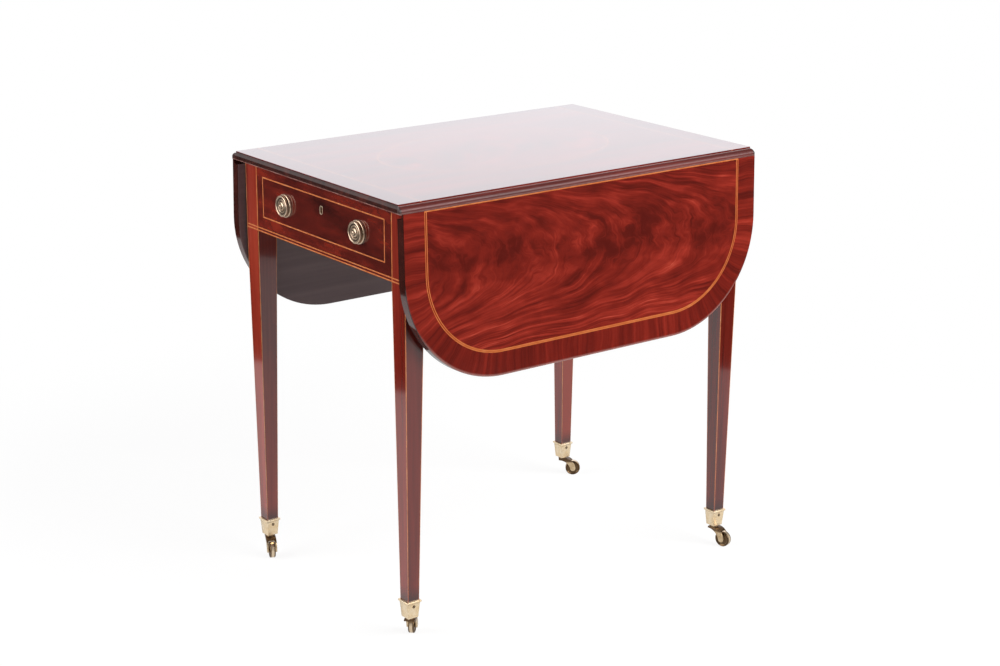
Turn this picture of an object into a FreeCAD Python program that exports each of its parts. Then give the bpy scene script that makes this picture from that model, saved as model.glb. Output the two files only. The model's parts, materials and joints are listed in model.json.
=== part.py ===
# Pembroke table: a fixed top with two hinged drop leaves, a drawer at one end,
# a dummy drawer at the other and four tapered legs on brass castors.
# Millimetres. +Z is up, the origin is on the floor under the middle of the top,
# -Y is the drawer end and +X the right-hand leaf seen from that end.
import FreeCAD, Part
import math
import os
import Sketcher

DIMENSIONS = (
    # Top and leaves
    ("table_height", 725.0),
    ("top_thickness", 17.0),
    ("top_width", 479.0),
    ("top_length", 723.0),
    ("moulding_reach", 2.5),
    ("moulding_step", 1.7),
    ("moulding_curve_height", 8.0),
    ("moulding_bevel_rise", 2.8),
    ("moulding_bevel_run", 15.0),
    ("rule_step", 3.0),
    ("rule_radius", 10.0),
    ("rule_clearance", 0.3),
    ("leaf_reach", 285.0),
    ("leaf_corner_radius", 184.2),
    ("leaf_lean", 1.8),
    ("leaf_edge_chamfer", 1.0),
    # Veneers and stringing
    ("veneer", 1.2),
    ("band_width", 40.0),
    ("band_string", 3.2),
    ("fine_string", 2.0),
    ("oval_length", 440.0),
    ("oval_width", 284.0),
    # Legs and frame
    ("leg_size", 36.0),
    ("frame_inset_x", 4.4),
    ("frame_inset_y", 14.4),
    ("foot_size", 21.5),
    ("foot_splay", 2.0),
    ("frieze_height", 114.5),
    ("tenon_length", 18.0),
    ("tenon_thickness", 7.0),
    ("tenon_shoulder", 12.0),
    ("side_rail_thickness", 14.0),
    ("drawer_rail_height", 8.5),
    ("drawer_rail_depth", 50.0),
    ("rail_tenon_height", 3.0),
    ("rail_line_margin", 0.6),
    ("rail_line_spacing", 5.2),
    ("upper_rail_height", 11.0),
    ("upper_rail_depth", 27.0),
    ("runner_width", 16.0),
    ("stop_width", 40.0),
    ("stop_depth", 13.0),
    ("stop_height", 4.0),
    ("stop_spacing", 180.0),
    # Fly brackets
    ("fly_thickness", 16.0),
    ("fly_height", 92.0),
    ("fly_top_gap", 0.5),
    ("fly_knuckle_offset", 70.0),
    ("fly_block_length", 51.1),
    ("fly_ogee_length", 30.0),
    ("fly_ogee_radius", 40.0),
    ("fly_tip_gap", 1.0),
    ("fly_knuckle_gap", 0.3),
    ("fly_pin_radius", 3.0),
    # Rule-joint hinges
    ("hinge_length", 60.0),
    ("hinge_spacing", 250.0),
    ("hinge_barrel_radius", 3.4),
    ("hinge_pin_radius", 1.6),
    ("hinge_plate_thickness", 2.0),
    ("hinge_plate_reach", 30.0),
    ("hinge_plate_setback", 6.2),
    ("hinge_knuckle_gap", 0.3),
    ("hinge_pocket_reach", 6.0),
    ("hinge_pocket_gap", 1.0),
    # Drawer
    ("drawer_gap", 0.5),
    ("drawer_run_gap", 0.1),
    ("drawer_top_gap", 0.8),
    ("drawer_stop_gap", 0.3),
    ("drawer_front_thickness", 20.0),
    ("drawer_back_room", 74.2),
    ("drawer_side_thickness", 8.0),
    ("drawer_side_height", 93.0),
    ("drawer_base_thickness", 6.0),
    ("drawer_base_rise", 6.0),
    ("drawer_groove", 4.0),
    ("drawer_back_drop", 6.0),
    ("drawer_string_margin", 17.5),
    ("dovetail_length", 14.0),
    ("dovetail_root", 15.0),
    ("dovetail_tip", 20.0),
    # Lock and escutcheon
    ("lock_width", 60.0),
    ("lock_height", 52.0),
    ("lock_depth", 10.0),
    ("bolt_width", 18.0),
    ("bolt_thickness", 4.0),
    ("bolt_height", 18.0),
    ("bolt_setback", 6.0),
    ("bolt_gap", 0.3),
    ("bolt_throw", 6.0),
    ("keyhole_rise", 65.5),
    ("keyhole_length", 15.0),
    ("keyhole_width", 8.8),
    ("escutcheon_wall", 1.3),
    ("escutcheon_depth", 2.0),
    # Knobs
    ("knob_spacing", 217.0),
    ("knob_rise", 52.0),
    ("knob_radius", 17.6),
    ("knob_reach", 12.0),
    ("knob_ring_radius", 19.5),
    ("knob_ring_slope", 1.0),
    ("knob_ring_height", 3.6),
    ("knob_groove_radius", 15.0),
    ("knob_groove_height", 2.4),
    ("knob_face_height", 3.4),
    ("knob_face_slope", 1.0),
    ("knob_rim_width", 2.0),
    ("knob_dish_depth", 2.0),
    ("knob_boss_radius", 7.3),
    ("knob_button_radius", 3.2),
    ("knob_shank_radius", 2.5),
    ("knob_shank_length", 15.0),
    # Castors
    ("running_clearance", 0.05),
    ("cup_top", 67.0),
    ("cup_height", 30.0),
    ("cup_floor", 4.0),
    ("cup_top_size", 24.4),
    ("cup_bottom_size", 19.5),
    ("cup_lip_size", 27.4),
    ("cup_lip_height", 3.0),
    ("spigot_top_size", 20.6),
    ("spigot_bottom_size", 16.0),
    ("castor_trail", 20.0),
    ("wheel_radius", 14.0),
    ("wheel_width", 10.0),
    ("wheel_crown", 1.0),
    ("wheel_rim_width", 2.5),
    ("wheel_web", 6.0),
    ("wheel_hub_radius", 5.0),
    ("wheel_side_gap", 0.5),
    ("wheel_tyre_gap", 1.5),
    ("axle_radius", 2.0),
    ("cheek_thickness", 3.2),
    ("cheek_eye_radius", 5.0),
    ("horn_boss_radius", 7.5),
    ("horn_boss_height", 3.2),
    ("horn_crown", 2.5),
    ("horn_back_radius", 20.0),
    ("horn_front_radius", 24.0),
    ("swivel_gap", 0.3),
    ("spindle_radius", 3.0),
    ("heading_front_right", 135.0),
    ("heading_front_left", -23.0),
    ("heading_back_right", 15.0),
    ("heading_back_left", 53.0),
)

HINGE_KNUCKLES = 3
FLY_KNUCKLES = 5
DOVETAILS = 3

doc = FreeCAD.newDocument("pembroke_table")
sheet = doc.addObject("Spreadsheet::Sheet", "sizes")
for row, (alias, number) in enumerate(DIMENSIONS, start=1):
    sheet.set(f"A{row}", alias)
    sheet.set(f"B{row}", str(number))
    sheet.setAlias(f"B{row}", alias)
doc.recompute()

nodes = {}


class Size:
    """A length together with the sheet expression that gives it."""

    def __init__(self, value, text):
        self.value = value
        self.text = text

    def __add__(self, other):
        other = as_size(other)
        return Size(self.value + other.value, f"({self.text} + {other.text})")

    def __sub__(self, other):
        other = as_size(other)
        return Size(self.value - other.value, f"({self.text} - {other.text})")

    def __mul__(self, other):
        other = as_size(other)
        return Size(self.value * other.value, f"({self.text} * {other.text})")

    def __truediv__(self, other):
        other = as_size(other)
        return Size(self.value / other.value, f"({self.text} / {other.text})")

    def __neg__(self):
        return Size(-self.value, f"(-{self.text})")

    def __rsub__(self, other):
        return as_size(other) - self

    __radd__ = __add__
    __rmul__ = __mul__


def as_size(number):
    if isinstance(number, Size):
        return number
    return Size(float(number), f"({number})")


def root(size):
    return Size(math.sqrt(size.value), f"sqrt({size.text})")


def cosine(angle):
    return Size(math.cos(math.radians(angle.value)), f"cos({angle.text})")


def sine(angle):
    return Size(math.sin(math.radians(angle.value)), f"sin({angle.text})")


def size(alias):
    return Size(float(sheet.get(alias)), f"sizes.{alias}")


def bind(item, path, length):
    item.setExpression(path, as_size(length).text)


def set_base(item, x, y, z):
    bind(item, "Placement.Base.x", x)
    bind(item, "Placement.Base.y", y)
    bind(item, "Placement.Base.z", z)


def turn(item, axis, degrees):
    item.Placement = FreeCAD.Placement(FreeCAD.Vector(), FreeCAD.Rotation(FreeCAD.Vector(*axis), degrees))


def around(middle, span):
    """The two ends of a span set evenly about a middle."""
    middle = as_size(middle)
    return (middle - as_size(span) / 2, middle + as_size(span) / 2)


def box(name, xs, ys, zs):
    item = doc.addObject("Part::Box", name)
    low = [as_size(pair[0]) for pair in (xs, ys, zs)]
    high = [as_size(pair[1]) for pair in (xs, ys, zs)]
    for side, start, end in zip(("Length", "Width", "Height"), low, high):
        bind(item, side, end - start)
    set_base(item, *low)
    return item


def cylinder(name, axis, start, radius, length):
    """A cylinder from its start point along +X, +Y or +Z."""
    item = doc.addObject("Part::Cylinder", name)
    turns = {"X": ((0, 1, 0), 90), "Y": ((1, 0, 0), -90), "Z": ((0, 0, 1), 0)}
    turn(item, *turns[axis])
    bind(item, "Radius", radius)
    bind(item, "Height", length)
    set_base(item, *start)
    return item


def taper(name, zs, low, high):
    """An upright tapered block; low and high are its (xs, ys) at the two ends."""
    item = doc.addObject("Part::Wedge", name)
    turn(item, (1, 0, 0), 90)
    bind(item, "Ymin", zs[0])
    bind(item, "Ymax", zs[1])
    for prefix, (xs, ys) in (("", low), ("2", high)):
        bind(item, f"X{prefix}min", xs[0])
        bind(item, f"X{prefix}max", xs[1])
        bind(item, f"Z{prefix}min", -as_size(ys[1]))
        bind(item, f"Z{prefix}max", -as_size(ys[0]))
    return item


def fuse(name, *parts):
    item = doc.addObject("Part::MultiFuse", name)
    item.Shapes = list(parts)
    item.Refine = True
    return item


def cut(name, base, *tools):
    item = doc.addObject("Part::Cut", name)
    item.Base = base
    item.Tool = tools[0] if len(tools) == 1 else fuse(f"{name}_tools", *tools)
    item.Refine = True
    return item


def common(name, *parts):
    item = doc.addObject("Part::MultiCommon", name)
    item.Shapes = list(parts)
    item.Refine = True
    return item


def group(name, *parts):
    item = doc.addObject("Part::Compound", name)
    item.Links = list(parts)
    return item


def mirror(name, source, axis):
    item = doc.addObject("Part::Mirroring", name)
    item.Source = source
    item.Normal = FreeCAD.Vector(axis == "X", axis == "Y", axis == "Z")
    return item


def node(item, label):
    """Register an object as a finished piece whose Label names its file."""
    item.Label = label
    nodes[label] = item
    return item


def body_with_sketch(name, plane, outline):
    """A body with a sketch of one closed outline on one of its own planes."""
    body = doc.addObject("PartDesign::Body", name)
    sketch = body.newObject("Sketcher::SketchObject", f"{name}_sketch")
    support = [item for item in body.Origin.OriginFeatures if item.Role == plane][0]
    sketch.AttachmentSupport = [(support, "")]
    sketch.MapMode = "FlatFace"
    draw(sketch, outline)
    return body, sketch


def draw(sketch, outline):
    """Draw a closed outline of points (x, y) and arcs (x, y, radius, turn).

    An arc runs from the point before it; turn is +1 anticlockwise, -1 clockwise.
    """
    points = [(as_size(item[0]), as_size(item[1])) for item in outline]
    starts = []
    for number, item in enumerate(outline):
        begin = points[number - 1]
        end = points[number]
        if len(item) == 2:
            sketch.addGeometry(Part.LineSegment(vector(begin), vector(end)))
            starts.append((1, 2))
        else:
            sketch.addGeometry(arc_between(begin, end, item[2], item[3]))
            starts.append((1, 2) if item[3] > 0 else (2, 1))
    count = len(outline)
    for number in range(count):
        following = (number + 1) % count
        sketch.addConstraint(Sketcher.Constraint(
            "Coincident", number, starts[number][1], following, starts[following][0]))
    for number, item in enumerate(outline):
        hold(sketch, number, starts[number][1], points[number])
        if len(item) == 4:
            radius = as_size(item[2])
            index = sketch.addConstraint(Sketcher.Constraint("Radius", number, radius.value))
            bind(sketch, f"Constraints[{index}]", radius)


def vector(point):
    return FreeCAD.Vector(point[0].value, point[1].value, 0)


def arc_between(begin, end, radius, direction):
    start = vector(begin)
    finish = vector(end)
    reach = finish - start
    height = math.sqrt(max(as_size(radius).value ** 2 - (reach.Length / 2) ** 2, 0.0))
    across = FreeCAD.Vector(-reach.y, reach.x, 0).normalize() * height * direction
    centre = (start + finish) / 2 + across
    angles = [math.atan2(point.y - centre.y, point.x - centre.x) for point in (start, finish)]
    if direction < 0:
        angles.reverse()
    circle = Part.Circle(centre, FreeCAD.Vector(0, 0, 1), as_size(radius).value)
    return Part.ArcOfCircle(circle, angles[0], angles[1])


def hold(sketch, line, end, point):
    for kind, length in zip(("DistanceX", "DistanceY"), point):
        index = sketch.addConstraint(Sketcher.Constraint(kind, -1, 1, line, end, length.value))
        bind(sketch, f"Constraints[{index}]", length)


def padded(name, plane, outline, length):
    """A prism of an outline, set evenly about its plane."""
    body, sketch = body_with_sketch(name, plane, outline)
    pad = body.newObject("PartDesign::Pad", f"{name}_pad")
    pad.Profile = sketch
    pad.SideType = "Symmetric"
    bind(pad, "Length", length)
    return body


def turned(name, outline):
    """A turning about its own Z axis; outline points are (radius, height)."""
    body, sketch = body_with_sketch(name, "XZ_Plane", outline)
    spin = body.newObject("PartDesign::Revolution", f"{name}_spin")
    spin.Profile = sketch
    spin.ReferenceAxis = (sketch, ["V_Axis"])
    spin.Angle = 360
    return body


# Levels and lines that several pieces share
top_z = size("table_height")
under_z = top_z - size("top_thickness")
half_width = size("top_width") / 2
half_length = size("top_length") / 2
pivot_x = half_width
pivot_z = top_z - size("rule_step") - size("rule_radius")
pivot_cover = pivot_z - under_z
frieze_z = under_z - size("frieze_height")
rail_top_z = frieze_z + size("drawer_rail_height")
leg_half = size("leg_size") / 2
leg_x = half_width - size("frame_inset_x") - leg_half
leg_y = half_length - size("frame_inset_y") - leg_half
inner_x = leg_x - leg_half
inner_y = leg_y - leg_half
front_y = -(leg_y + leg_half)
back_y = leg_y + leg_half
foot_y = leg_y + size("foot_splay")
drawer_back_face = front_y + size("drawer_front_thickness")
drawer_half = inner_x - size("drawer_gap")
drawer_z = rail_top_z + size("drawer_run_gap")
drawer_front_zs = (rail_top_z + size("drawer_gap"), under_z - size("drawer_top_gap"))
leaf_face = top_z - pivot_z
leaf_back = leaf_face - size("top_thickness")
band_inner = size("band_width") + size("band_string")
line_lower = frieze_z + size("rail_line_margin")
line_upper = line_lower + size("rail_line_spacing")
rail_lines = [(line, line + size("fine_string")) for line in (line_lower, line_upper)]
lock_ys = (drawer_back_face - size("lock_depth"), drawer_back_face)
bolt_ys = around(drawer_back_face - size("bolt_setback"), size("bolt_thickness"))


def hinge_rows():
    return [-size("hinge_spacing"), as_size(0), size("hinge_spacing")]


def knuckle_span(number, count, length, gap):
    """The ends of one of count knuckles along a joint that starts at 0."""
    step = length / count
    return (step * number + gap / 2, step * (number + 1) - gap / 2)


# Rule-joint hinges
def hinge_flap(name, side, fingers, place):
    """Three flaps with their barrels, in coordinates about the hinge axis.

    side is +1 for the leaf's flaps and -1 for those let into the top.
    """
    reach = size("hinge_plate_reach")
    setback = size("hinge_plate_setback")
    length = size("hinge_length")
    zs = (leaf_back, leaf_back + size("hinge_plate_thickness"))
    flaps = []
    for row, middle in enumerate(hinge_rows()):
        label = f"{name}_{row}"
        start = middle - length / 2
        xs = (setback, reach) if side > 0 else (-reach, -setback)
        pieces = [box(f"{label}_plate", xs, around(middle, length), zs)]
        for finger in fingers:
            low, high = knuckle_span(finger, HINGE_KNUCKLES, length, size("hinge_knuckle_gap"))
            ys = (start + low, start + high)
            xs = (as_size(0), setback) if side > 0 else (-setback, as_size(0))
            pieces.append(box(f"{label}_finger_{finger}", xs, ys, zs))
            pieces.append(cylinder(f"{label}_barrel_{finger}", "Y", (0, ys[0], 0),
                                   size("hinge_barrel_radius"), ys[1] - ys[0]))
        bore = cylinder(f"{label}_bore", "Y", (0, start, 0),
                        size("hinge_pin_radius") + size("running_clearance"), length)
        flaps.append(cut(f"{label}_flap", fuse(f"{label}_blank", *pieces), bore))
    flap = group(name, *flaps)
    place(flap)
    return flap


def place_at_pivot(item):
    set_base(item, pivot_x, 0, pivot_z)


def place_hanging(item):
    """Swing a piece drawn for the raised leaf down to its hanging lean."""
    turn(item, (0, 1, 0), 90)
    bind(item, "Placement.Rotation.Angle", 90 - size("leaf_lean"))
    place_at_pivot(item)


def hinge_pockets(name):
    """Room in the top's edge for each barrel, its fixed flap and the leaf flap's swing."""
    reach = size("hinge_plate_reach")
    pocket = size("hinge_pocket_reach")
    length = size("hinge_length")
    room = length + size("hinge_pocket_gap") * 2
    zs_fixed = (leaf_back, leaf_back + size("hinge_plate_thickness"))
    zs_swing = (leaf_back, zs_fixed[1] + size("rule_clearance"))
    tools = []
    for row, middle in enumerate(hinge_rows()):
        tools.append(box(f"{name}_{row}_barrel", (-pocket, pocket), around(middle, room),
                         (leaf_back, pocket)))
        tools.append(box(f"{name}_{row}_seat", (-reach, 0), around(middle, length), zs_fixed))
        tools.append(box(f"{name}_{row}_swing", (0, size("rule_radius") * 2), around(middle, room), zs_swing))
    pockets = fuse(name, *tools)
    place_at_pivot(pockets)
    return pockets


# Top
def top_blank():
    edge = half_width + root(size("rule_radius") * size("rule_radius") - pivot_cover * pivot_cover)
    step_z = top_z - size("rule_step")
    radius = size("rule_radius")
    rule = padded("top_rule_form", "XZ_Plane", [
        (half_width, top_z),
        (half_width, step_z),
        (edge, under_z, radius, -1),
        (-edge, under_z),
        (-half_width, step_z, radius, -1),
        (-half_width, top_z),
    ], (half_length + size("moulding_reach")) * 2)
    reach = size("moulding_reach")
    rise = size("moulding_curve_height")
    curve = (reach * reach + rise * rise) / (reach * 2)
    bevel_z = under_z + size("moulding_bevel_rise")
    quirk_z = top_z - size("moulding_step")
    nose_z = quirk_z - rise
    nose = half_length + reach
    heel = nose - size("moulding_bevel_run")
    ends = padded("top_end_form", "YZ_Plane", [
        (half_length, top_z),
        (half_length, quirk_z),
        (nose, nose_z, curve, -1),
        (nose, bevel_z),
        (heel, under_z),
        (-heel, under_z),
        (-nose, bevel_z),
        (-nose, nose_z),
        (-half_length, quirk_z, curve, -1),
        (-half_length, top_z),
    ], edge * 2)
    return common("top_blank", rule, ends)


def oval_prism(name, inset):
    ring = doc.addObject("Part::Ellipse", f"{name}_line")
    bind(ring, "MajorRadius", size("oval_length") / 2 - inset)
    bind(ring, "MinorRadius", size("oval_width") / 2 - inset)
    turn(ring, (0, 0, 1), 90)
    set_base(ring, 0, 0, top_z - size("veneer"))
    prism = doc.addObject("Part::Extrusion", name)
    prism.Base = ring
    prism.DirMode = "Custom"
    prism.Dir = FreeCAD.Vector(0, 0, 1)
    prism.Solid = True
    bind(prism, "LengthFwd", size("veneer"))
    return prism


def make_top():
    zs = (top_z - size("veneer"), top_z)
    across = (-half_width, half_width)
    bands = []
    lines = []
    for end, sign in (("front", -1), ("back", 1)):
        ys = sorted([half_length * sign, (half_length - size("band_width")) * sign], key=lambda y: y.value)
        bands.append(box(f"top_band_{end}", across, ys, zs))
        line = (half_length - size("band_width") - size("band_string") / 2) * sign
        lines.append(box(f"top_line_{end}", across, around(line, size("band_string")), zs))
    oval = cut("top_oval", oval_prism("oval_outer", 0), oval_prism("oval_inner", size("band_string")))
    node(group("top_crossbands", *bands), "top_crossbands")
    node(group("top_stringing", oval, *lines), "top_stringing")
    pockets = hinge_pockets("hinge_pockets")
    mortise_gap = size("bolt_gap") * 2
    mortise = box("bolt_mortise", around(0, size("bolt_width") + mortise_gap),
                  (bolt_ys[0] - mortise_gap, bolt_ys[1] + mortise_gap),
                  (under_z, under_z + size("bolt_throw") + mortise_gap))
    top = cut("top_cut", top_blank(), *bands, *lines, oval, pockets,
              mirror("hinge_pockets_left", pockets, "X"), mortise)
    node(top, "top_board")


# Leaves
def leaf_plan(name, inset, start):
    """The leaf's outline seen from above when raised, inset all round."""
    far = size("leaf_reach") - inset
    side = half_length - inset
    corner = size("leaf_corner_radius") - inset
    body = padded(name, "XY_Plane", [
        (start, -side),
        (far - corner, -side),
        (far, corner - side, corner, 1),
        (far, side - corner),
        (far - corner, side, corner, 1),
        (start, side),
    ], size("top_thickness"))
    bind(body, "Placement.Base.z", (leaf_face + leaf_back) / 2)
    return body


def ease_edges(body, width, keep):
    """Chamfer the long edges of a pad that lie in its two flat faces and pass keep."""
    doc.recompute()
    pad = body.Tip
    chosen = []
    for number, edge in enumerate(pad.Shape.Edges, start=1):
        flat = edge.BoundBox.ZLength < edge.Length / 2
        if flat and keep(edge):
            chosen.append(f"Edge{number}")
    chamfer = body.newObject("PartDesign::Chamfer", f"{body.Name}_eased")
    chamfer.Base = (pad, chosen)
    bind(chamfer, "Size", width)


def make_leaf():
    """The right leaf, drawn raised about the hinge axis and then hung."""
    radius = size("rule_radius") + size("rule_clearance")
    start = size("rule_clearance")
    cove_top = root(radius * radius - start * start)
    cove_foot = root(radius * radius - leaf_back * leaf_back)
    outline = leaf_plan("leaf_outline", 0, 0)
    ease_edges(outline, size("leaf_edge_chamfer"), lambda edge: edge.BoundBox.XMax > start.value)
    section = padded("leaf_section", "XZ_Plane", [
        (start, leaf_face),
        (start, cove_top),
        (cove_foot, leaf_back, radius, -1),
        (size("leaf_reach"), leaf_back),
        (size("leaf_reach"), leaf_face),
    ], half_length * 2)
    blank = common("leaf_blank", outline, section)
    slab = box("leaf_veneer_slab", (0, size("leaf_reach")), around(0, half_length * 2),
               (leaf_face - size("veneer"), leaf_face))
    veneered = common("leaf_veneered", blank, slab)
    band = cut("leaf_band", veneered, leaf_plan("leaf_band_hole", size("band_width"), 0))
    ring = cut("leaf_ring", leaf_plan("leaf_line_outer", size("band_width"), start),
               leaf_plan("leaf_line_inner", band_inner, start + size("fine_string")))
    line = common("leaf_line", slab, ring)
    seat_zs = (leaf_back, leaf_back + size("hinge_plate_thickness"))
    seats = [box(f"leaf_hinge_seat_{row}", (0, size("hinge_plate_reach")),
                 around(middle, size("hinge_length")), seat_zs)
             for row, middle in enumerate(hinge_rows())]
    board = cut("leaf_board", blank, band, line, *seats)
    for part, label in ((board, "board"), (band, "crossband"), (line, "stringing")):
        hung = group(f"leaf_{label}_hung", part)
        place_hanging(hung)
        node(hung, f"leaf_right_{label}")
        node(mirror(f"leaf_{label}_mirror", hung, "X"), f"leaf_left_{label}")


def make_hinges():
    fixed = hinge_flap("hinge_fixed", -1, range(0, HINGE_KNUCKLES, 2), place_at_pivot)
    swinging = hinge_flap("hinge_swinging", 1, range(1, HINGE_KNUCKLES, 2), place_hanging)
    pins = group("hinge_pins_form", *[
        cylinder(f"hinge_pin_{row}", "Y", (pivot_x, middle - size("hinge_length") / 2, pivot_z),
                 size("hinge_pin_radius"), size("hinge_length"))
        for row, middle in enumerate(hinge_rows())])
    node(group("hinge_fixed_all", fixed, mirror("hinge_fixed_mirror", fixed, "X")), "hinge_top_flaps")
    node(group("hinge_pins_all", pins, mirror("hinge_pins_mirror", pins, "X")), "hinge_pins")
    node(swinging, "leaf_right_hinge_flaps")
    node(mirror("hinge_swinging_mirror", swinging, "X"), "leaf_left_hinge_flaps")


# Legs and frame
def square(x, y, width):
    return (around(x, width), around(y, width))


def leg_line(name, x_side, y_side):
    """A boxwood line let into one arris of the leg, straight above the taper."""
    width = size("fine_string")

    def corner(half, y):
        x_edge = leg_x + half * x_side
        y_edge = y + half * y_side
        return (around(x_edge - width / 2 * x_side, width), around(y_edge - width / 2 * y_side, width))

    foot = corner(size("foot_size") / 2, foot_y)
    head = corner(leg_half, leg_y)
    return fuse(name,
                taper(f"{name}_taper", (size("cup_top"), frieze_z), foot, head),
                box(f"{name}_head", *head, (frieze_z, under_z)))


def side_rail_tenon(name):
    xs = around(inner_x + size("side_rail_thickness") / 2, size("tenon_thickness"))
    shoulder = size("tenon_shoulder")
    return box(name, xs, around(0, (inner_y + size("tenon_length")) * 2),
               (frieze_z + shoulder, under_z - shoulder))


def drawer_rail_tenon(name):
    ys = around(-leg_y, size("tenon_length"))
    zs = around(frieze_z + size("drawer_rail_height") / 2, size("rail_tenon_height"))
    return box(name, around(0, (inner_x + size("tenon_length")) * 2), ys, zs)


def make_legs_and_stringing():
    spigot_zs = (size("cup_top") - size("cup_height") + size("cup_floor"), size("cup_top"))
    blank = fuse("leg_blank",
                 box("leg_head", *square(leg_x, leg_y, size("leg_size")), (frieze_z, under_z)),
                 taper("leg_taper", (size("cup_top"), frieze_z), square(leg_x, foot_y, size("foot_size")),
                       square(leg_x, leg_y, size("leg_size"))),
                 leg_spigot("leg_spigot", spigot_zs))
    lines = [leg_line(f"leg_line_{number}", *sides)
             for number, sides in enumerate(((1, 1), (1, -1), (-1, 1), (-1, -1)))]
    cross_xs = around(leg_x, size("leg_size") - size("fine_string") * 2)
    face_ys = (back_y - size("veneer"), back_y)
    lines += [box(f"leg_cross_line_{number}", cross_xs, face_ys, zs) for number, zs in enumerate(rail_lines)]
    back_leg = cut("leg_back_form", blank, side_rail_tenon("leg_side_mortise"), *lines)
    rail_mortise = mirror("leg_rail_mortise", drawer_rail_tenon("leg_rail_mortise_form"), "Y")
    front_form = cut("leg_front_form", back_leg, rail_mortise)
    front_leg = mirror("leg_front_right_form", front_form, "Y")
    node(back_leg, "leg_back_right")
    node(mirror("leg_back_left_form", back_leg, "X"), "leg_back_left")
    node(front_leg, "leg_front_right")
    node(mirror("leg_front_left_form", front_leg, "X"), "leg_front_left")
    one = group("leg_lines_back_right", *lines)
    back = group("leg_lines_back", one, mirror("leg_lines_back_left", one, "X"))
    return group("leg_lines", back, mirror("leg_lines_front", back, "Y"))


def leg_spigot(name, zs):
    return taper(name, zs, square(leg_x, foot_y, size("spigot_bottom_size")),
                 square(leg_x, foot_y, size("spigot_top_size")))


def string_rectangle(name, xs, ys, zs):
    """A closed line of fine stringing, as wide as fine_string, inside xs and zs."""
    width = size("fine_string")
    outer = box(f"{name}_outer", xs, ys, zs)
    inner = box(f"{name}_inner", (xs[0] + width, xs[1] - width), ys, (zs[0] + width, zs[1] - width))
    return cut(name, outer, inner)


def front_string(name, ys):
    margin = size("drawer_string_margin")
    return string_rectangle(name, (margin - drawer_half, drawer_half - margin), ys,
                            (drawer_front_zs[0] + margin, drawer_front_zs[1] - margin))


def make_frame(leg_lines):
    across = (-inner_x, inner_x)
    side_xs = (inner_x, inner_x + size("side_rail_thickness"))
    rail_zs = (frieze_z, rail_top_z)
    rail_back = front_y + size("drawer_rail_depth")
    side_rail = fuse("side_rail_form",
                     box("side_rail_bar", side_xs, around(0, inner_y * 2), (frieze_z, under_z)),
                     side_rail_tenon("side_rail_tenon"))
    node(side_rail, "side_rail_right")
    node(mirror("side_rail_mirror", side_rail, "X"), "side_rail_left")

    front_face = (front_y, front_y + size("veneer"))
    back_face = (back_y - size("veneer"), back_y)
    front_lines = [box(f"rail_line_{number}", across, front_face, zs) for number, zs in enumerate(rail_lines)]
    back_lines = [box(f"dummy_line_{number}", across, back_face, zs) for number, zs in enumerate(rail_lines)]
    rail = fuse("drawer_rail_blank", box("drawer_rail_bar", across, (front_y, rail_back), rail_zs),
                drawer_rail_tenon("drawer_rail_tenon"))
    node(cut("drawer_rail_form", rail, *front_lines), "drawer_rail")

    upper_front = drawer_back_face + size("drawer_stop_gap")
    upper_back = upper_front + size("upper_rail_depth")
    upper_zs = (under_z - size("upper_rail_height"), under_z)
    node(box("upper_rail_form", across, (upper_front, upper_back), upper_zs), "upper_rail")

    dummy_string = front_string("dummy_string", back_face)
    dummy_ys = (back_y - size("drawer_front_thickness"), back_y)
    dummy = cut("dummy_front_form", box("dummy_front_blank", across, dummy_ys, (frieze_z, under_z)),
                dummy_string, *back_lines, *knob_holes("dummy", dummy_ys[0]))
    node(dummy, "dummy_drawer_front")
    node(group("carcase_stringing_form", leg_lines, dummy_string, *front_lines, *back_lines),
         "carcase_stringing")

    runner_xs = (inner_x - size("runner_width"), inner_x)
    runner = box("runner_form", runner_xs, (rail_back, dummy_ys[0]), rail_zs)
    kicker = box("kicker_form", runner_xs, (upper_back, dummy_ys[0]), upper_zs)
    stop = box("stop_form", around(size("stop_spacing") / 2, size("stop_width")),
               (upper_front, upper_front + size("stop_depth")),
               (rail_top_z, rail_top_z + size("stop_height")))
    for form, label in ((runner, "drawer_runners"), (kicker, "drawer_kickers"), (stop, "drawer_stops")):
        node(group(label, form, mirror(f"{label}_mirror", form, "X")), label)


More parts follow.
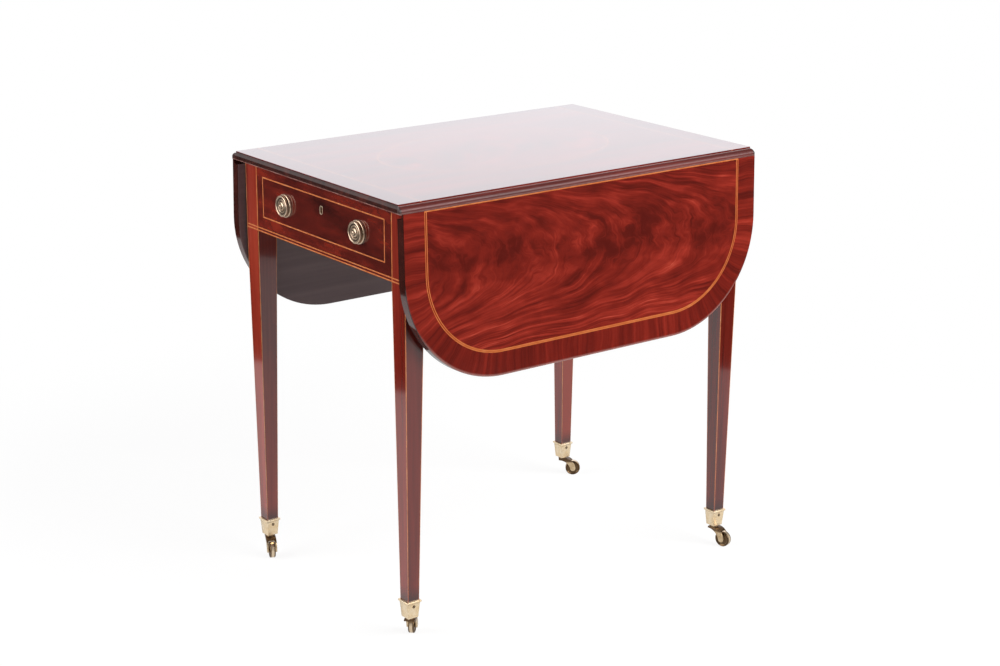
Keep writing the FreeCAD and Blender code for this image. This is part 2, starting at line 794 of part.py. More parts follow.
# Fly brackets
def make_fly_brackets():
    """Two wooden brackets a side, each on a five-knuckle joint about an upright pin."""
    depth = size("fly_thickness")
    radius = depth / 2
    low_x = inner_x + size("side_rail_thickness")
    axis_x = low_x + radius
    axis_y = size("fly_knuckle_offset")
    high_z = under_z - size("fly_top_gap")
    low_z = high_z - size("fly_height")
    zs = (low_z, high_z)
    xs = (low_x, low_x + depth)
    gap = size("fly_knuckle_gap")
    tip = inner_y - size("fly_block_length")
    rail_fingers = list(range(0, FLY_KNUCKLES, 2))
    bracket_fingers = list(range(1, FLY_KNUCKLES, 2))
    bore = cylinder("fly_bore", "Z", (axis_x, axis_y, low_z),
                    size("fly_pin_radius") + size("running_clearance"), size("fly_height"))
    shoulder = box("fly_shoulder", (0, depth), (0, depth), (0, size("fly_height")))
    turn(shoulder, (0, 0, 1), -45)
    set_base(shoulder, axis_x, axis_y, low_z)

    def knuckles(name, fingers):
        parts = []
        for finger in fingers:
            low, high = knuckle_span(finger, FLY_KNUCKLES, size("fly_height"), gap)
            parts.append(cylinder(f"{name}_{finger}", "Z", (axis_x, axis_y, low_z + low), radius, high - low))
        return parts

    def notches(name, fingers):
        """Square-cut room in one half of the joint for the other half's knuckles."""
        parts = []
        for finger in fingers:
            low, high = knuckle_span(finger, FLY_KNUCKLES, size("fly_height"), -gap)
            parts.append(box(f"{name}_{finger}", xs, around(axis_y, (radius + gap) * 2),
                             (low_z + low, low_z + high)))
        return parts

    def ogee(shift, corners):
        """An outline seen from the side, with its swept end shifted along the table."""
        end = tip + shift
        foot = end - size("fly_ogee_length")
        curve = size("fly_ogee_radius")
        middle = ((foot + end) / 2, (low_z + high_z) / 2)
        sweep = [(*middle, curve, 1), (end, high_z, curve, -1)]
        return [(corners, low_z), (foot, low_z), *sweep, (corners, high_z)]

    def joint_end(name, blank, own, other):
        shaped = cut(f"{name}_shaped", blank, shoulder, *notches(f"{name}_notch", other))
        whole = fuse(f"{name}_knuckled", shaped, *knuckles(f"{name}_knuckle", own))
        return cut(f"{name}_jointed", whole, bore)

    bracket_blank = padded("fly_bracket_blank", "YZ_Plane", ogee(0, axis_y), depth)
    bind(bracket_blank, "Placement.Base.x", axis_x)
    bracket = joint_end("fly_bracket", bracket_blank, bracket_fingers, rail_fingers)
    half_bar = box("fly_half_bar", xs, (0, axis_y), zs)
    half_rail = joint_end("fly_half_rail", half_bar, rail_fingers, bracket_fingers)
    rail = fuse("fly_rail_form", half_rail, mirror("fly_half_rail_mirror", half_rail, "Y"))
    block = padded("fly_end_block", "YZ_Plane", ogee(size("fly_tip_gap"), inner_y), depth)
    bind(block, "Placement.Base.x", axis_x)
    rails = group("fly_rail_group", rail, block, mirror("fly_end_block_mirror", block, "Y"))
    node(rails, "fly_rail_right")
    node(mirror("fly_rail_mirror", rails, "X"), "fly_rail_left")
    front = mirror("fly_bracket_front_form", bracket, "Y")
    for form, end in ((bracket, "back"), (front, "front")):
        node(form, f"fly_bracket_{end}_right")
        node(mirror(f"fly_bracket_{end}_mirror", form, "X"), f"fly_bracket_{end}_left")
    pin = cylinder("fly_pin", "Z", (axis_x, axis_y, low_z), size("fly_pin_radius"), size("fly_height"))
    pair = group("fly_pin_pair", pin, mirror("fly_pin_front", pin, "Y"))
    node(group("fly_pins_form", pair, mirror("fly_pins_left", pair, "X")), "fly_pins")


# Drawer
def dovetails(name, xs):
    """The tails at a drawer side's front end, wider at their tips."""
    pitch = size("drawer_side_height") / DOVETAILS
    tails = []
    for number in range(DOVETAILS):
        middle = drawer_z + pitch * (number + 0.5)
        tail = doc.addObject("Part::Wedge", f"{name}_{number}")
        bind(tail, "Ymin", drawer_back_face - size("dovetail_length"))
        bind(tail, "Ymax", drawer_back_face)
        for prefix, height in (("", size("dovetail_tip")), ("2", size("dovetail_root"))):
            bind(tail, f"X{prefix}min", xs[0])
            bind(tail, f"X{prefix}max", xs[1])
            bind(tail, f"Z{prefix}min", middle - height / 2)
            bind(tail, f"Z{prefix}max", middle + height / 2)
        tails.append(tail)
    return tails


def knob_holes(name, face_y):
    """Blind holes for two knob shanks, drilled from an end face of the table."""
    outward = -1 if face_y.value < 0 else 1
    outer = front_y if outward < 0 else back_y
    start = outer if outward < 0 else outer - size("knob_shank_length")
    height = drawer_front_zs[0] + size("knob_rise")
    return [cylinder(f"{name}_knob_hole_{side}", "Y", (size("knob_spacing") / 2 * sign, start, height),
                     size("knob_shank_radius"), size("knob_shank_length"))
            for side, sign in (("right", 1), ("left", -1))]


def keyhole(name, inset, ys):
    """A round-ended upright slot about the keyhole's middle."""
    radius = size("keyhole_width") / 2 - inset
    rise = size("keyhole_length") / 2 - size("keyhole_width") / 2
    middle = drawer_front_zs[0] + size("keyhole_rise")
    depth = ys[1] - ys[0]
    return fuse(name,
                cylinder(f"{name}_upper", "Y", (0, ys[0], middle + rise), radius, depth),
                cylinder(f"{name}_lower", "Y", (0, ys[0], middle - rise), radius, depth),
                box(f"{name}_middle", around(0, radius * 2), ys, around(middle, rise * 2)))


def make_drawer():
    side = size("drawer_side_thickness")
    side_xs = (drawer_half - side, drawer_half)
    box_back = back_y - size("drawer_front_thickness") - size("drawer_back_room")
    side_zs = (drawer_z, drawer_z + size("drawer_side_height"))
    base_low = drawer_z + size("drawer_base_rise")
    base_high = base_low + size("drawer_base_thickness")
    base_half = drawer_half - side + size("drawer_groove")
    base_ys = (drawer_back_face - size("drawer_groove"), box_back)
    base = box("drawer_base_form", around(0, base_half * 2), base_ys, (base_low, base_high))
    node(base, "drawer_bottom")

    tails = dovetails("drawer_tail", side_xs)
    side_bar = box("drawer_side_bar", side_xs, (drawer_back_face, box_back), side_zs)
    side_blank = fuse("drawer_side_blank", side_bar, *tails)
    right = cut("drawer_side_form", side_blank, base)
    node(right, "drawer_side_right")
    node(mirror("drawer_side_mirror", right, "X"), "drawer_side_left")
    node(box("drawer_back_form", around(0, (drawer_half - side) * 2), (box_back - side, box_back),
             (base_high, side_zs[1] - size("drawer_back_drop"))), "drawer_back")

    lock_top = drawer_front_zs[1]
    lock_zs = (lock_top - size("lock_height"), lock_top)
    lock = box("lock_block", around(0, size("lock_width")), lock_ys, lock_zs)
    bolt_gap = size("bolt_gap")
    bolt_low = lock_top - size("bolt_height")
    slot = box("bolt_slot", around(0, size("bolt_width") + bolt_gap * 2),
               (bolt_ys[0] - bolt_gap, bolt_ys[1] + bolt_gap), (bolt_low - bolt_gap, lock_top))
    node(cut("lock_form", lock, slot), "lock_case")
    bolt_zs = (bolt_low, lock_top - bolt_gap)
    node(box("bolt_form", around(0, size("bolt_width")), bolt_ys, bolt_zs), "lock_bolt")

    face = (front_y, front_y + size("veneer"))
    string = front_string("drawer_string", face)
    node(string, "drawer_front_stringing")
    ring_ys = (front_y, front_y + size("escutcheon_depth"))
    ring_hole = keyhole("escutcheon_outer", 0, ring_ys)
    ring = cut("escutcheon_form", ring_hole, keyhole("escutcheon_inner", size("escutcheon_wall"), ring_ys))
    node(ring, "escutcheon")
    key_slot = keyhole("key_slot", size("escutcheon_wall"), (front_y, lock_ys[0]))
    front_ys = (front_y, drawer_back_face)
    front = box("drawer_front_blank", around(0, drawer_half * 2), front_ys, drawer_front_zs)
    left_tails = mirror("drawer_tails_mirror", group("drawer_tails", *tails), "X")
    node(cut("drawer_front_form", front, string, ring_hole, key_slot, lock, base, *tails, left_tails,
             *knob_holes("drawer", drawer_back_face)), "drawer_front")


def knob_outline():
    """Half of the turned knob, as (radius, height above the face it stands on)."""
    outer = size("knob_radius")
    ring = size("knob_ring_radius")
    ring_high = size("knob_ring_height")
    ring_edge = ring - size("knob_ring_slope")
    face_low = ring_high + size("knob_groove_height")
    face_high = face_low + size("knob_face_height")
    groove = size("knob_groove_radius")
    rim = outer - size("knob_face_slope")
    bowl = rim - size("knob_rim_width")
    dish = face_high - size("knob_dish_depth")
    shank = size("knob_shank_radius")
    button = size("knob_button_radius")
    return [
        (0, -size("knob_shank_length")),
        (shank, -size("knob_shank_length")),
        (shank, 0),
        (ring, 0),
        (ring, ring_high / 2),
        (ring_edge, ring_high),
        (groove, ring_high),
        (groove, face_low),
        (rim, face_low),
        (outer, (face_low + face_high) / 2),
        (rim, face_high),
        (bowl, face_high),
        (bowl - size("knob_dish_depth"), dish),
        (size("knob_boss_radius"), dish),
        (button, face_high),
        (button, size("knob_reach")),
        (0, size("knob_reach")),
    ]


def make_knobs():
    form = turned("knob_form", knob_outline())
    height = drawer_front_zs[0] + size("knob_rise")
    for label, face_y, angle in (("drawer_knobs", front_y, 90), ("dummy_knobs", back_y, -90)):
        pair = []
        for side, sign in (("right", 1), ("left", -1)):
            knob = group(f"{label}_{side}", form)
            turn(knob, (1, 0, 0), angle)
            set_base(knob, size("knob_spacing") / 2 * sign, face_y, height)
            pair.append(knob)
        node(group(label, *pair), label)


# Castors
def make_cups():
    low_z = size("cup_top") - size("cup_height")
    floor_z = low_z + size("cup_floor")
    spot = (leg_x, foot_y)
    lip = square(*spot, size("cup_lip_size"))
    shell = fuse("cup_shell",
                 taper("cup_taper", (low_z, size("cup_top")), square(*spot, size("cup_bottom_size")),
                       square(*spot, size("cup_top_size"))),
                 box("cup_lip", *lip, (size("cup_top") - size("cup_lip_height"), size("cup_top"))))
    socket = leg_spigot("cup_socket", (floor_z, size("cup_top")))
    bore = cylinder("cup_bore", "Z", (*spot, low_z), size("spindle_radius") + size("running_clearance"),
                    size("cup_floor"))
    cup = cut("cup_form", shell, socket, bore)
    front = mirror("cup_front_form", cup, "Y")
    for form, end in ((cup, "back"), (front, "front")):
        node(form, f"castor_cup_{end}_right")
        node(mirror(f"cup_{end}_left_form", form, "X"), f"castor_cup_{end}_left")


def castor_horn():
    """The forked horn about its upright swivel axis, trailing towards +X."""
    trail = size("castor_trail")
    axle_z = size("wheel_radius")
    top = size("cup_top") - size("cup_height") - size("swivel_gap")
    boss_low = top - size("horn_boss_height")
    boss = size("horn_boss_radius")
    eye = size("cheek_eye_radius")
    gap = size("wheel_width") + size("wheel_side_gap") * 2
    crown_low = boss_low - size("horn_crown")
    cheeks = padded("horn_cheeks", "XZ_Plane", [
        (-boss, boss_low),
        (boss, boss_low),
        (trail + eye, axle_z, size("horn_back_radius"), -1),
        (trail, axle_z - eye, eye, -1),
        (trail - eye, axle_z, eye, -1),
        (-boss, crown_low, size("horn_front_radius"), 1),
    ], gap + size("cheek_thickness") * 2)
    slot = cylinder("horn_slot", "Y", (trail, -gap / 2, axle_z), axle_z + size("wheel_tyre_gap"), gap)
    fork = cut("horn_fork", cheeks, slot)
    width = gap + size("cheek_thickness") * 2
    return fuse("horn_form", fork,
                cylinder("horn_boss", "Z", (0, 0, boss_low), boss, size("horn_boss_height")),
                cylinder("horn_spindle", "Z", (0, 0, boss_low), size("spindle_radius"),
                         size("horn_boss_height") + size("swivel_gap") + size("cup_floor")),
                cylinder("horn_axle", "Y", (trail, -width / 2, axle_z), size("axle_radius"), width))


def wheel_outline():
    """Half of the wheel's section, as (radius, distance along its axle)."""
    crown = size("wheel_crown")
    half = size("wheel_width") / 2
    web = size("wheel_web") / 2
    tread = size("wheel_radius")
    edge = tread - crown
    hub = size("wheel_hub_radius")
    bore = size("axle_radius") + size("running_clearance")
    return [
        (bore, -half),
        (hub, -half),
        (edge - size("wheel_rim_width"), -web),
        (edge, -half),
        (tread, crown - half),
        (tread, half - crown),
        (edge, half),
        (edge - size("wheel_rim_width"), web),
        (hub, half),
        (bore, half),
    ]


def make_castors():
    make_cups()
    horn = castor_horn()
    wheel = turned("wheel_form", wheel_outline())
    for end, y_side in (("front", -1), ("back", 1)):
        for side, x_side in (("right", 1), ("left", -1)):
            heading = size(f"heading_{end}_{side}")
            x = leg_x * x_side
            y = foot_y * y_side
            placed_horn = group(f"horn_{end}_{side}", horn)
            turn(placed_horn, (0, 0, 1), heading.value)
            set_base(placed_horn, x, y, 0)
            node(placed_horn, f"castor_horn_{end}_{side}")
            placed_wheel = group(f"wheel_{end}_{side}", wheel)
            upright = FreeCAD.Rotation(FreeCAD.Vector(1, 0, 0), -90)
            steer = FreeCAD.Rotation(FreeCAD.Vector(0, 0, 1), heading.value)
            placed_wheel.Placement = FreeCAD.Placement(FreeCAD.Vector(), steer.multiply(upright))
            trail = size("castor_trail")
            set_base(placed_wheel, x + trail * cosine(heading), y + trail * sine(heading),
                     size("wheel_radius"))
            node(placed_wheel, f"castor_wheel_{end}_{side}")


def write_parts():
    """Check every object and piece, then write one file for each piece."""
    for item in doc.Objects:
        if "Invalid" in item.State or "Error" in item.State:
            raise RuntimeError(f"{item.Name} failed: {item.State}")
    for label, item in nodes.items():
        if item.Shape.isNull() or not item.Shape.isValid() or not item.Shape.Solids:
            raise RuntimeError(f"{label} is not a sound solid")
    os.makedirs("parts", exist_ok=True)
    for label, item in nodes.items():
        item.Shape.exportStep(f"parts/{label}.step")
    print(len(nodes), "pieces")


make_top()
make_leaf()
make_hinges()
make_frame(make_legs_and_stringing())
make_fly_brackets()
make_drawer()
make_knobs()
make_castors()
doc.recompute()
write_parts()
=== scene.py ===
"""A pembroke table in figured mahogany with boxwood lines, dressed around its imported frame.

Metres, in the frame's own axes: +Z up, the drawer at the -Y end, the leaves hanging at +X and -X.
"""

import json
import math

import bmesh
import bpy
from mathutils import Matrix, Vector
from mathutils.geometry import interpolate_bezier


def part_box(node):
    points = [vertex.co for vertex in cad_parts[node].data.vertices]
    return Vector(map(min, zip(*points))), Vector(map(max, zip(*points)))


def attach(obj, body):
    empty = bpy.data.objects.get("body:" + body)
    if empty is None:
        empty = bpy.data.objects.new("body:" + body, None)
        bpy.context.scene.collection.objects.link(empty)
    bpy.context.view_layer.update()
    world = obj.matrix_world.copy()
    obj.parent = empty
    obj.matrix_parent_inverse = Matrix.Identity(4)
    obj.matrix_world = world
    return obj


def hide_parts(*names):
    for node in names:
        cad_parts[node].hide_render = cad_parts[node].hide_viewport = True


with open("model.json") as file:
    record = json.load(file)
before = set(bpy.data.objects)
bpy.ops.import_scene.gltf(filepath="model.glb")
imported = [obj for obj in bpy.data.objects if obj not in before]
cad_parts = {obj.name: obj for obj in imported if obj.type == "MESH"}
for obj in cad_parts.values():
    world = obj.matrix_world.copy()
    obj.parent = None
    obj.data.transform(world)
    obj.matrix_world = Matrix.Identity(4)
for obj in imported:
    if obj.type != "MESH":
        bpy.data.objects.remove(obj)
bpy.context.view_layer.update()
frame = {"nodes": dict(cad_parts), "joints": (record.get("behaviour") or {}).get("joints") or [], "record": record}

MM = 0.001
ENDS = ("front", "back")
SIDES = {"right": 1, "left": -1}

# Places read from the frame
joints = {joint["name"]: joint for joint in frame["joints"]}
leaf_hinge = joints["leaf_right_hinge"]
HINGE_X, _, HINGE_Z = leaf_hinge["pos_m"]
LEAF_LEAN = math.radians(90 - leaf_hinge["range_deg"][1])
LEAF_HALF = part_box("leaf_right_board")[1].y
TOP_LOW, TOP_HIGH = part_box("top_board")
FRONT_LINE_LOW, FRONT_LINE_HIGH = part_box("drawer_front_stringing")
DRAWER_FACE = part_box("drawer_front")[0].y
DUMMY_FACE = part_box("dummy_drawer_front")[1].y
KNOBS_LOW, KNOBS_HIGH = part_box("drawer_knobs")
LOCK_LOW, LOCK_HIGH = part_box("lock_case")
LEG_LOW, LEG_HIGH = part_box("leg_back_right")
CUP_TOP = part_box("castor_cup_back_right")[1].z
BODIES = {node: body for body, nodes in frame["record"]["behaviour"]["bodies"].items() for node in nodes}

# Sizes of the veneer work
LEAF_REACH = 285.0 * MM
LEAF_CORNER = 184.2 * MM
LEAF_FACE = 13.0 * MM
LEAF_BACK = -4.0 * MM
BAND_WIDTH = 40.0 * MM
OUTER_LINE = 1.3 * MM
LINE_GAP = 1.8 * MM
LINE_BLUR = 0.2 * MM
OVAL_LENGTH = 440.0 * MM
OVAL_WIDTH = 284.0 * MM

# Where the leaf's finish and the painted highlight on its rim change, as distances down from the hinge line, and
# the slope of its flame
FLAME_HEART = 0.105
FLAME_SLOPE = 0.05
LIVELY_BAND = (0.24, 0.14)
HIGHLIGHT_FOOT = (0.18, 0.25)
BLED_FOOT = (0.17, 0.235)

# Sizes of the legs
LEG_X = (LEG_LOW.x + LEG_HIGH.x) / 2
LEG_Y = (LEG_LOW.y + LEG_HIGH.y) / 2
LEG_HALF = (LEG_HIGH.x - LEG_LOW.x) / 2
FOOT_HALF = 10.75 * MM
FOOT_SPLAY = 2.0 * MM
FRIEZE_Z = TOP_LOW.z - 114.5 * MM

# Patches: a pale one of painted light on a leg, and a dark one of the wood's own shade on the frieze
PAINTED_LIGHT_Z = 0.57
PAINTED_LIGHT_HALF = 0.08
DARK_PATCH_X = 0.03
DARK_PATCH_HALF = 0.09

# Sizes of the metalwork
WHEEL_HALF = 5.0 * MM
WHEEL_SOFTENING = 0.35 * MM
BRASS_SOFTENING = 0.5 * MM
KNOB_RADIUS = 19.5 * MM
KNOB_X = KNOBS_HIGH.x - KNOB_RADIUS
KNOB_Z = (KNOBS_LOW.z + KNOBS_HIGH.z) / 2
HINGE_ROWS = (-250.0 * MM, 0.0, 250.0 * MM)
HINGE_SCREW_REACH = 18.0 * MM
HINGE_SCREW_ROWS = (-20.0 * MM, 0.0, 20.0 * MM)
CUP_SCREW_OUT = 11.35 * MM
CUP_SCREW_DROP = 9.5 * MM
CUP_WALL_LEAN = -0.082
LOCK_SCREW_X = 24.0 * MM
LOCK_SCREW_INSET = 7.0 * MM

# Radii of the screw heads in mm, as the lathe takes them, and their slots
CUP_SCREW_RADIUS = 2.9
HINGE_SCREW_RADIUS = 2.8
LOCK_SCREW_RADIUS = 2.4
SLOT_SHARE = 0.16
SLOT_DEPTH = 0.5 * MM

# Corners of a knob's outline from the back plate to the button: radius, height and rounding, in mm
BACK_PLATE = ((18.6, 0.0, 0.0), (19.5, 0.0, 0.9), (19.5, 3.6, 1.6))
NECK = ((15.0, 3.4, 0.3), (15.0, 6.0, 0.4))
RIM = ((17.6, 6.1, 1.1), (17.6, 9.4, 1.4), (15.2, 9.4, 0.7))
DISH = ((13.3, 7.25, 0.9), (11.8, 7.25, 0.3))
BEAD = ((11.5, 8.4, 0.7), (9.6, 8.4, 0.7))
HOLLOW = ((9.3, 7.2, 0.4), (7.5, 7.2, 0.5))
BUTTON = ((7.1, 9.2, 1.5), (3.4, 9.7, 0.3), (3.2, 12.0, 1.2), (0.0, 12.0, 0.0))
KNOB_CORNERS = BACK_PLATE + NECK + RIM + DISH + BEAD + HOLLOW + BUTTON
ARC_HANDLE = 0.55

# Where a knob is painted dark: the middle of its neck, painted shade, and the radius and half width of each hollow
# of its face, grime and painted shade
NECK_HEIGHT = 4.8 * MM
KNOB_HOLLOWS = ((13.0 * MM, 2.0 * MM), (8.5 * MM, 1.3 * MM), (4.2 * MM, 0.8 * MM))

# Limits for the mesh work
MERGE_NEAR = 0.000001
MERGE_COPY = 0.00001
KNOB_STEPS = 72
SCREW_STEPS = 20
FLAT_ANGLE = math.radians(0.5)
KEEN_ANGLE = math.radians(40)
SHARP_ANGLE = math.radians(38)


def corners(stem):
    """The names of the four nodes of a kind, one to a corner of the table."""
    return [f"{stem}_{end}_{side}" for end in ENDS for side in SIDES]


def pair(stem):
    """The names of the right and left nodes of a kind."""
    return [f"{stem}_{side}" for side in SIDES]


def tone(red, green, blue):
    """A colour as it is seen, 0 to 255 a channel, as the linear RGBA that a shader takes."""
    levels = [level / 255 for level in (red, green, blue)]
    linear = [v / 12.92 if v <= 0.04045 else ((v + 0.055) / 1.055) ** 2.4 for v in levels]
    return (*linear, 1.0)


class Value:
    """A socket of a finish; sums written on it become Math nodes."""

    def __init__(self, finish, socket):
        self.finish = finish
        self.socket = socket

    def math(self, operation, *terms):
        return self.finish.add("ShaderNodeMath", {"operation": operation}, terms)

    def other(self, output):
        """Another output of the same node."""
        return Value(self.finish, self.socket.node.outputs[output])

    def __add__(self, term):
        return self.math("ADD", self, term)

    def __radd__(self, term):
        return self.math("ADD", term, self)

    def __sub__(self, term):
        return self.math("SUBTRACT", self, term)

    def __rsub__(self, term):
        return self.math("SUBTRACT", term, self)

    def __mul__(self, term):
        return self.math("MULTIPLY", self, term)

    def __rmul__(self, term):
        return self.math("MULTIPLY", term, self)

    def __truediv__(self, term):
        return self.math("DIVIDE", self, term)

    def __pow__(self, term):
        return self.math("POWER", self, term)

    def __abs__(self):
        return self.math("ABSOLUTE", self)

    def least(self, term):
        return self.math("MINIMUM", self, term)

    def most(self, term):
        return self.math("MAXIMUM", self, term)

    def angle(self, term):
        return self.math("ARCTAN2", self, term)

    def above(self, term):
        return self.math("GREATER_THAN", self, term)

    def length(self, term):
        """The length of a vector with this value and another as its legs."""
        return (self * self + term * term) ** 0.5

    def hump(self, width):
        """1 where the value is 0, falling away on both sides."""
        share = self / width
        return self.math("EXPONENT", share * share * -1.0)


class Finish:
    """The nodes of one material or world, with the point being coloured as x, y and z."""

    def __init__(self, block, shader):
        block.use_nodes = True
        self.block = block
        self.tree = block.node_tree
        self.shader = self.tree.nodes[shader]

    def locate(self, output="Object"):
        where = self.add("ShaderNodeTexCoord", {}, {}, output)
        self.x = self.add("ShaderNodeSeparateXYZ", {}, (where,), "X")
        self.y = self.x.other("Y")
        self.z = self.x.other("Z")
        return self

    def add(self, kind, settings=None, inputs=(), output=0):
        node = self.tree.nodes.new(kind)
        for key, value in (settings or {}).items():
            if key == "stops":
                self.set_stops(node.color_ramp, value)
            else:
                setattr(node, key, value)
        pairs = inputs.items() if isinstance(inputs, dict) else enumerate(inputs)
        for key, value in pairs:
            self.feed(node.inputs[key], value)
        return Value(self, node.outputs[output])

    def feed(self, socket, value):
        if isinstance(value, Value):
            self.tree.links.new(value.socket, socket)
        else:
            socket.default_value = value

    @staticmethod
    def set_stops(ramp, stops):
        for element, (position, colour) in ((ramp.elements[0], stops[0]), (ramp.elements[-1], stops[-1])):
            element.position = position
            element.color = colour
        for position, colour in stops[1:-1]:
            ramp.elements.new(position).color = colour

    def lay(self, values):
        """Sets or links the shader's own sockets."""
        for name, value in values.items():
            self.feed(self.shader.inputs[name], value)

    def point(self, x, y, z):
        return self.add("ShaderNodeCombineXYZ", {}, (x, y, z))

    def noise(self, point, detail=2.0, roughness=0.5, warp=0.0):
        values = {"Vector": point, "Scale": 1.0, "Detail": detail, "Roughness": roughness, "Distortion": warp}
        return self.add("ShaderNodeTexNoise", {}, values)

    def clouds(self, scale):
        """Soft patches of one scale all ways, about 0 to 1."""
        return self.noise(self.point(self.x * scale, self.y * scale, self.z * scale), 3.0)

    def ramp(self, value, stops):
        return self.add("ShaderNodeValToRGB", {"stops": stops}, (value,))

    def mix(self, share, first, second):
        settings = {"data_type": "RGBA", "blend_type": "MIX"}
        return self.add("ShaderNodeMix", settings, {0: share, 6: first, 7: second}, 2)

    def rise(self, value, low, high):
        """0 below low and 1 above high, eased between."""
        values = {"Value": value, "From Min": low, "From Max": high}
        return self.add("ShaderNodeMapRange", {"interpolation_type": "SMOOTHSTEP"}, values)

    def bump(self, height, depth):
        values = {"Height": height, "Strength": 1.0, "Distance": depth}
        return self.add("ShaderNodeBump", {}, values)


def new_finish(name):
    return Finish(bpy.data.materials.new(name), "Principled BSDF").locate()


# Mahogany

MAHOGANY = [(0.1, tone(87, 24, 19)), (0.25, tone(93, 26, 20)), (0.5, tone(121, 34, 25)),
            (0.75, tone(152, 47, 35)), (1.0, tone(186, 74, 56))]
DRAWER_MAHOGANY = [(0.0, tone(42, 13, 11)), (0.5, tone(94, 28, 21)), (1.0, tone(150, 47, 30))]
DARK_MAHOGANY = [(0.0, tone(28, 15, 13)), (0.5, tone(60, 31, 27)), (1.0, tone(98, 47, 39))]
LEG_MAHOGANY = [(0.0, tone(80, 19, 13)), (0.5, tone(126, 36, 25)), (1.0, tone(162, 60, 42))]
# A darker copy of the legs' mahogany for their sides, as painted shade
LEG_SHADED_SIDE_MAHOGANY = [(0.0, tone(66, 17, 13)), (0.5, tone(104, 30, 22)), (1.0, tone(136, 50, 36))]
BARE_MAHOGANY = [(0.0, tone(84, 46, 36)), (0.5, tone(118, 70, 54)), (1.0, tone(146, 96, 74))]
EDGE_STAIN = [(0.0, tone(30, 13, 11)), (1.0, tone(78, 34, 28))]
UNDERSIDE_STAIN = [(0.0, tone(96, 78, 80)), (1.0, tone(122, 102, 104))]
# Colour of the painted highlights on the leaf's rim and along the top's mouldings
PAINTED_HIGHLIGHT_TONE = tone(176, 132, 124)
RULE_JOINT_DARK = tone(48, 18, 16)
LEG_SHADE_AND_DIRT = tone(40, 20, 18)

# Lines let into it
BOXWOOD = [(0.0, tone(162, 84, 48)), (0.5, tone(208, 124, 74)), (1.0, tone(232, 164, 116))]
FADED_BOXWOOD = [(0.0, tone(176, 96, 64)), (0.5, tone(194, 116, 79)), (1.0, tone(208, 136, 98))]
ORANGE_BOXWOOD = [(0.0, tone(156, 76, 38)), (0.5, tone(204, 112, 60)), (1.0, tone(228, 150, 96))]
BROWNED_BOXWOOD = tone(140, 74, 52)
# Colour of a line worn away, and of the painted shade and dirt above the cups
WORN_SHADED_AND_DIRTY_LINE = tone(96, 32, 24)
STRIP_BETWEEN_LINES = tone(132, 42, 27)

POLISH_ROUGHNESS = 0.12
COAT_ROUGHNESS = 0.035
EDGE_COAT = 0.4
BAND_LIGHT = 0.41


def french_polish(wood, colour):
    """A hand-polished finish: a clear coat on wood that is nearly as smooth."""
    wood.lay({"Base Color": colour, "Roughness": POLISH_ROUGHNESS, "Coat Weight": 1.0,
              "Coat Roughness": COAT_ROUGHNESS})


def straight_grain(wood, along, across, depth, seed=0.0):
    """Long streaks and short fibres along the grain, about 0 to 1."""
    broad = wood.noise(wood.point(across * 38, depth * 38, along * 1.6 + seed), 3.0, 0.55, 0.4)
    fine = wood.noise(wood.point(across * 210, depth * 210, along * 6.0 + seed), 2.0)
    return 0.5 + (broad - 0.5) * 1.25 + (fine - 0.5) * 0.55


def pore_marks(wood, along, across, depth):
    """Short open pores, 1 in a pore."""
    dashes = wood.noise(wood.point(across * 1500, depth * 1500, along * 110), 1.0)
    return wood.rise(dashes, 0.62, 0.72)


def crotch_figure(wood, along, off, seed):
    """Feathered plumes that leave a ragged dark heart and sweep back along the board, about 0 to 1."""
    drift = wood.noise(wood.point(along * 5, off * 6, seed), 1.0, 0.5)
    curl = wood.noise(wood.point(along * 24, off * 30, seed + 21.0), 2.0, 0.5)
    near = off.hump(0.06)
    spread = abs(off)
    sweep = along + spread * spread * spread * 250 + (drift - 0.5) * 0.04 + (curl - 0.5) * near * 0.09
    plumes = wood.noise(wood.point(sweep * 13, off * 8 + along * 7, seed + 3.1), 2.0, 0.5, 0.4)
    feather = wood.noise(wood.point(sweep * 44, off * 12 + along * 11, seed + 5.7), 3.0, 0.55, 0.3)
    streaks = wood.noise(wood.point(sweep * 150, off * 24 + along * 22, seed + 7.7), 2.0)
    fibres = wood.noise(wood.point(sweep * 480, off * 60 + along * 50, seed + 9.3), 1.0)
    mottle = wood.noise(wood.point(along * 26, off * 44, seed + 12.9), 2.0, 0.5, 0.2)
    patches = wood.rise(wood.noise(wood.point(along * 17, off * 30, seed + 15.3), 2.0, 0.5, 0.5), 0.3, 0.7)
    heart = (off + (drift - 0.5) * 0.05).hump(0.016)
    strands = (feather - 0.5) * 0.85 + (streaks - 0.5) * 0.45
    light = 0.5 + (plumes - 0.5) * 1.1 + strands * (0.35 + patches * 0.9) + (fibres - 0.5) * 0.22
    return light + (mottle - 0.5) * (near * 0.3 + 0.35) - heart * 0.09 - near * 0.05


def cross_grain(wood, along, across, seed):
    """Stripes straight across a band, in short pieces that differ a little, about 0 to 1."""
    wander = wood.noise(wood.point(along * 16, across * 26, seed + 1.0), 2.0)
    stripe = along + (wander - 0.5) * 0.01
    stripes = wood.noise(wood.point(stripe * 70, across * 4, seed + 2.0), 2.5, 0.6)
    threads = wood.noise(wood.point(stripe * 330, across * 9, seed + 5.0), 2.0)
    pieces = wood.noise(wood.point(along * 8, 0.0, seed + 7.0), 0.0)
    return BAND_LIGHT + (stripes - 0.5) * 0.7 + (threads - 0.5) * 0.28 + (pieces - 0.5) * 0.45


def leaf_place(wood, side):
    """How proud of the hinge line, how far along and how far down a point of the hanging leaf lies."""
    out = wood.x * side - HINGE_X
    rise = wood.z - HINGE_Z
    proud = out * math.cos(LEAF_LEAN) + rise * math.sin(LEAF_LEAN)
    down = out * math.sin(LEAF_LEAN) - rise * math.cos(LEAF_LEAN)
    return proud, wood.y, down


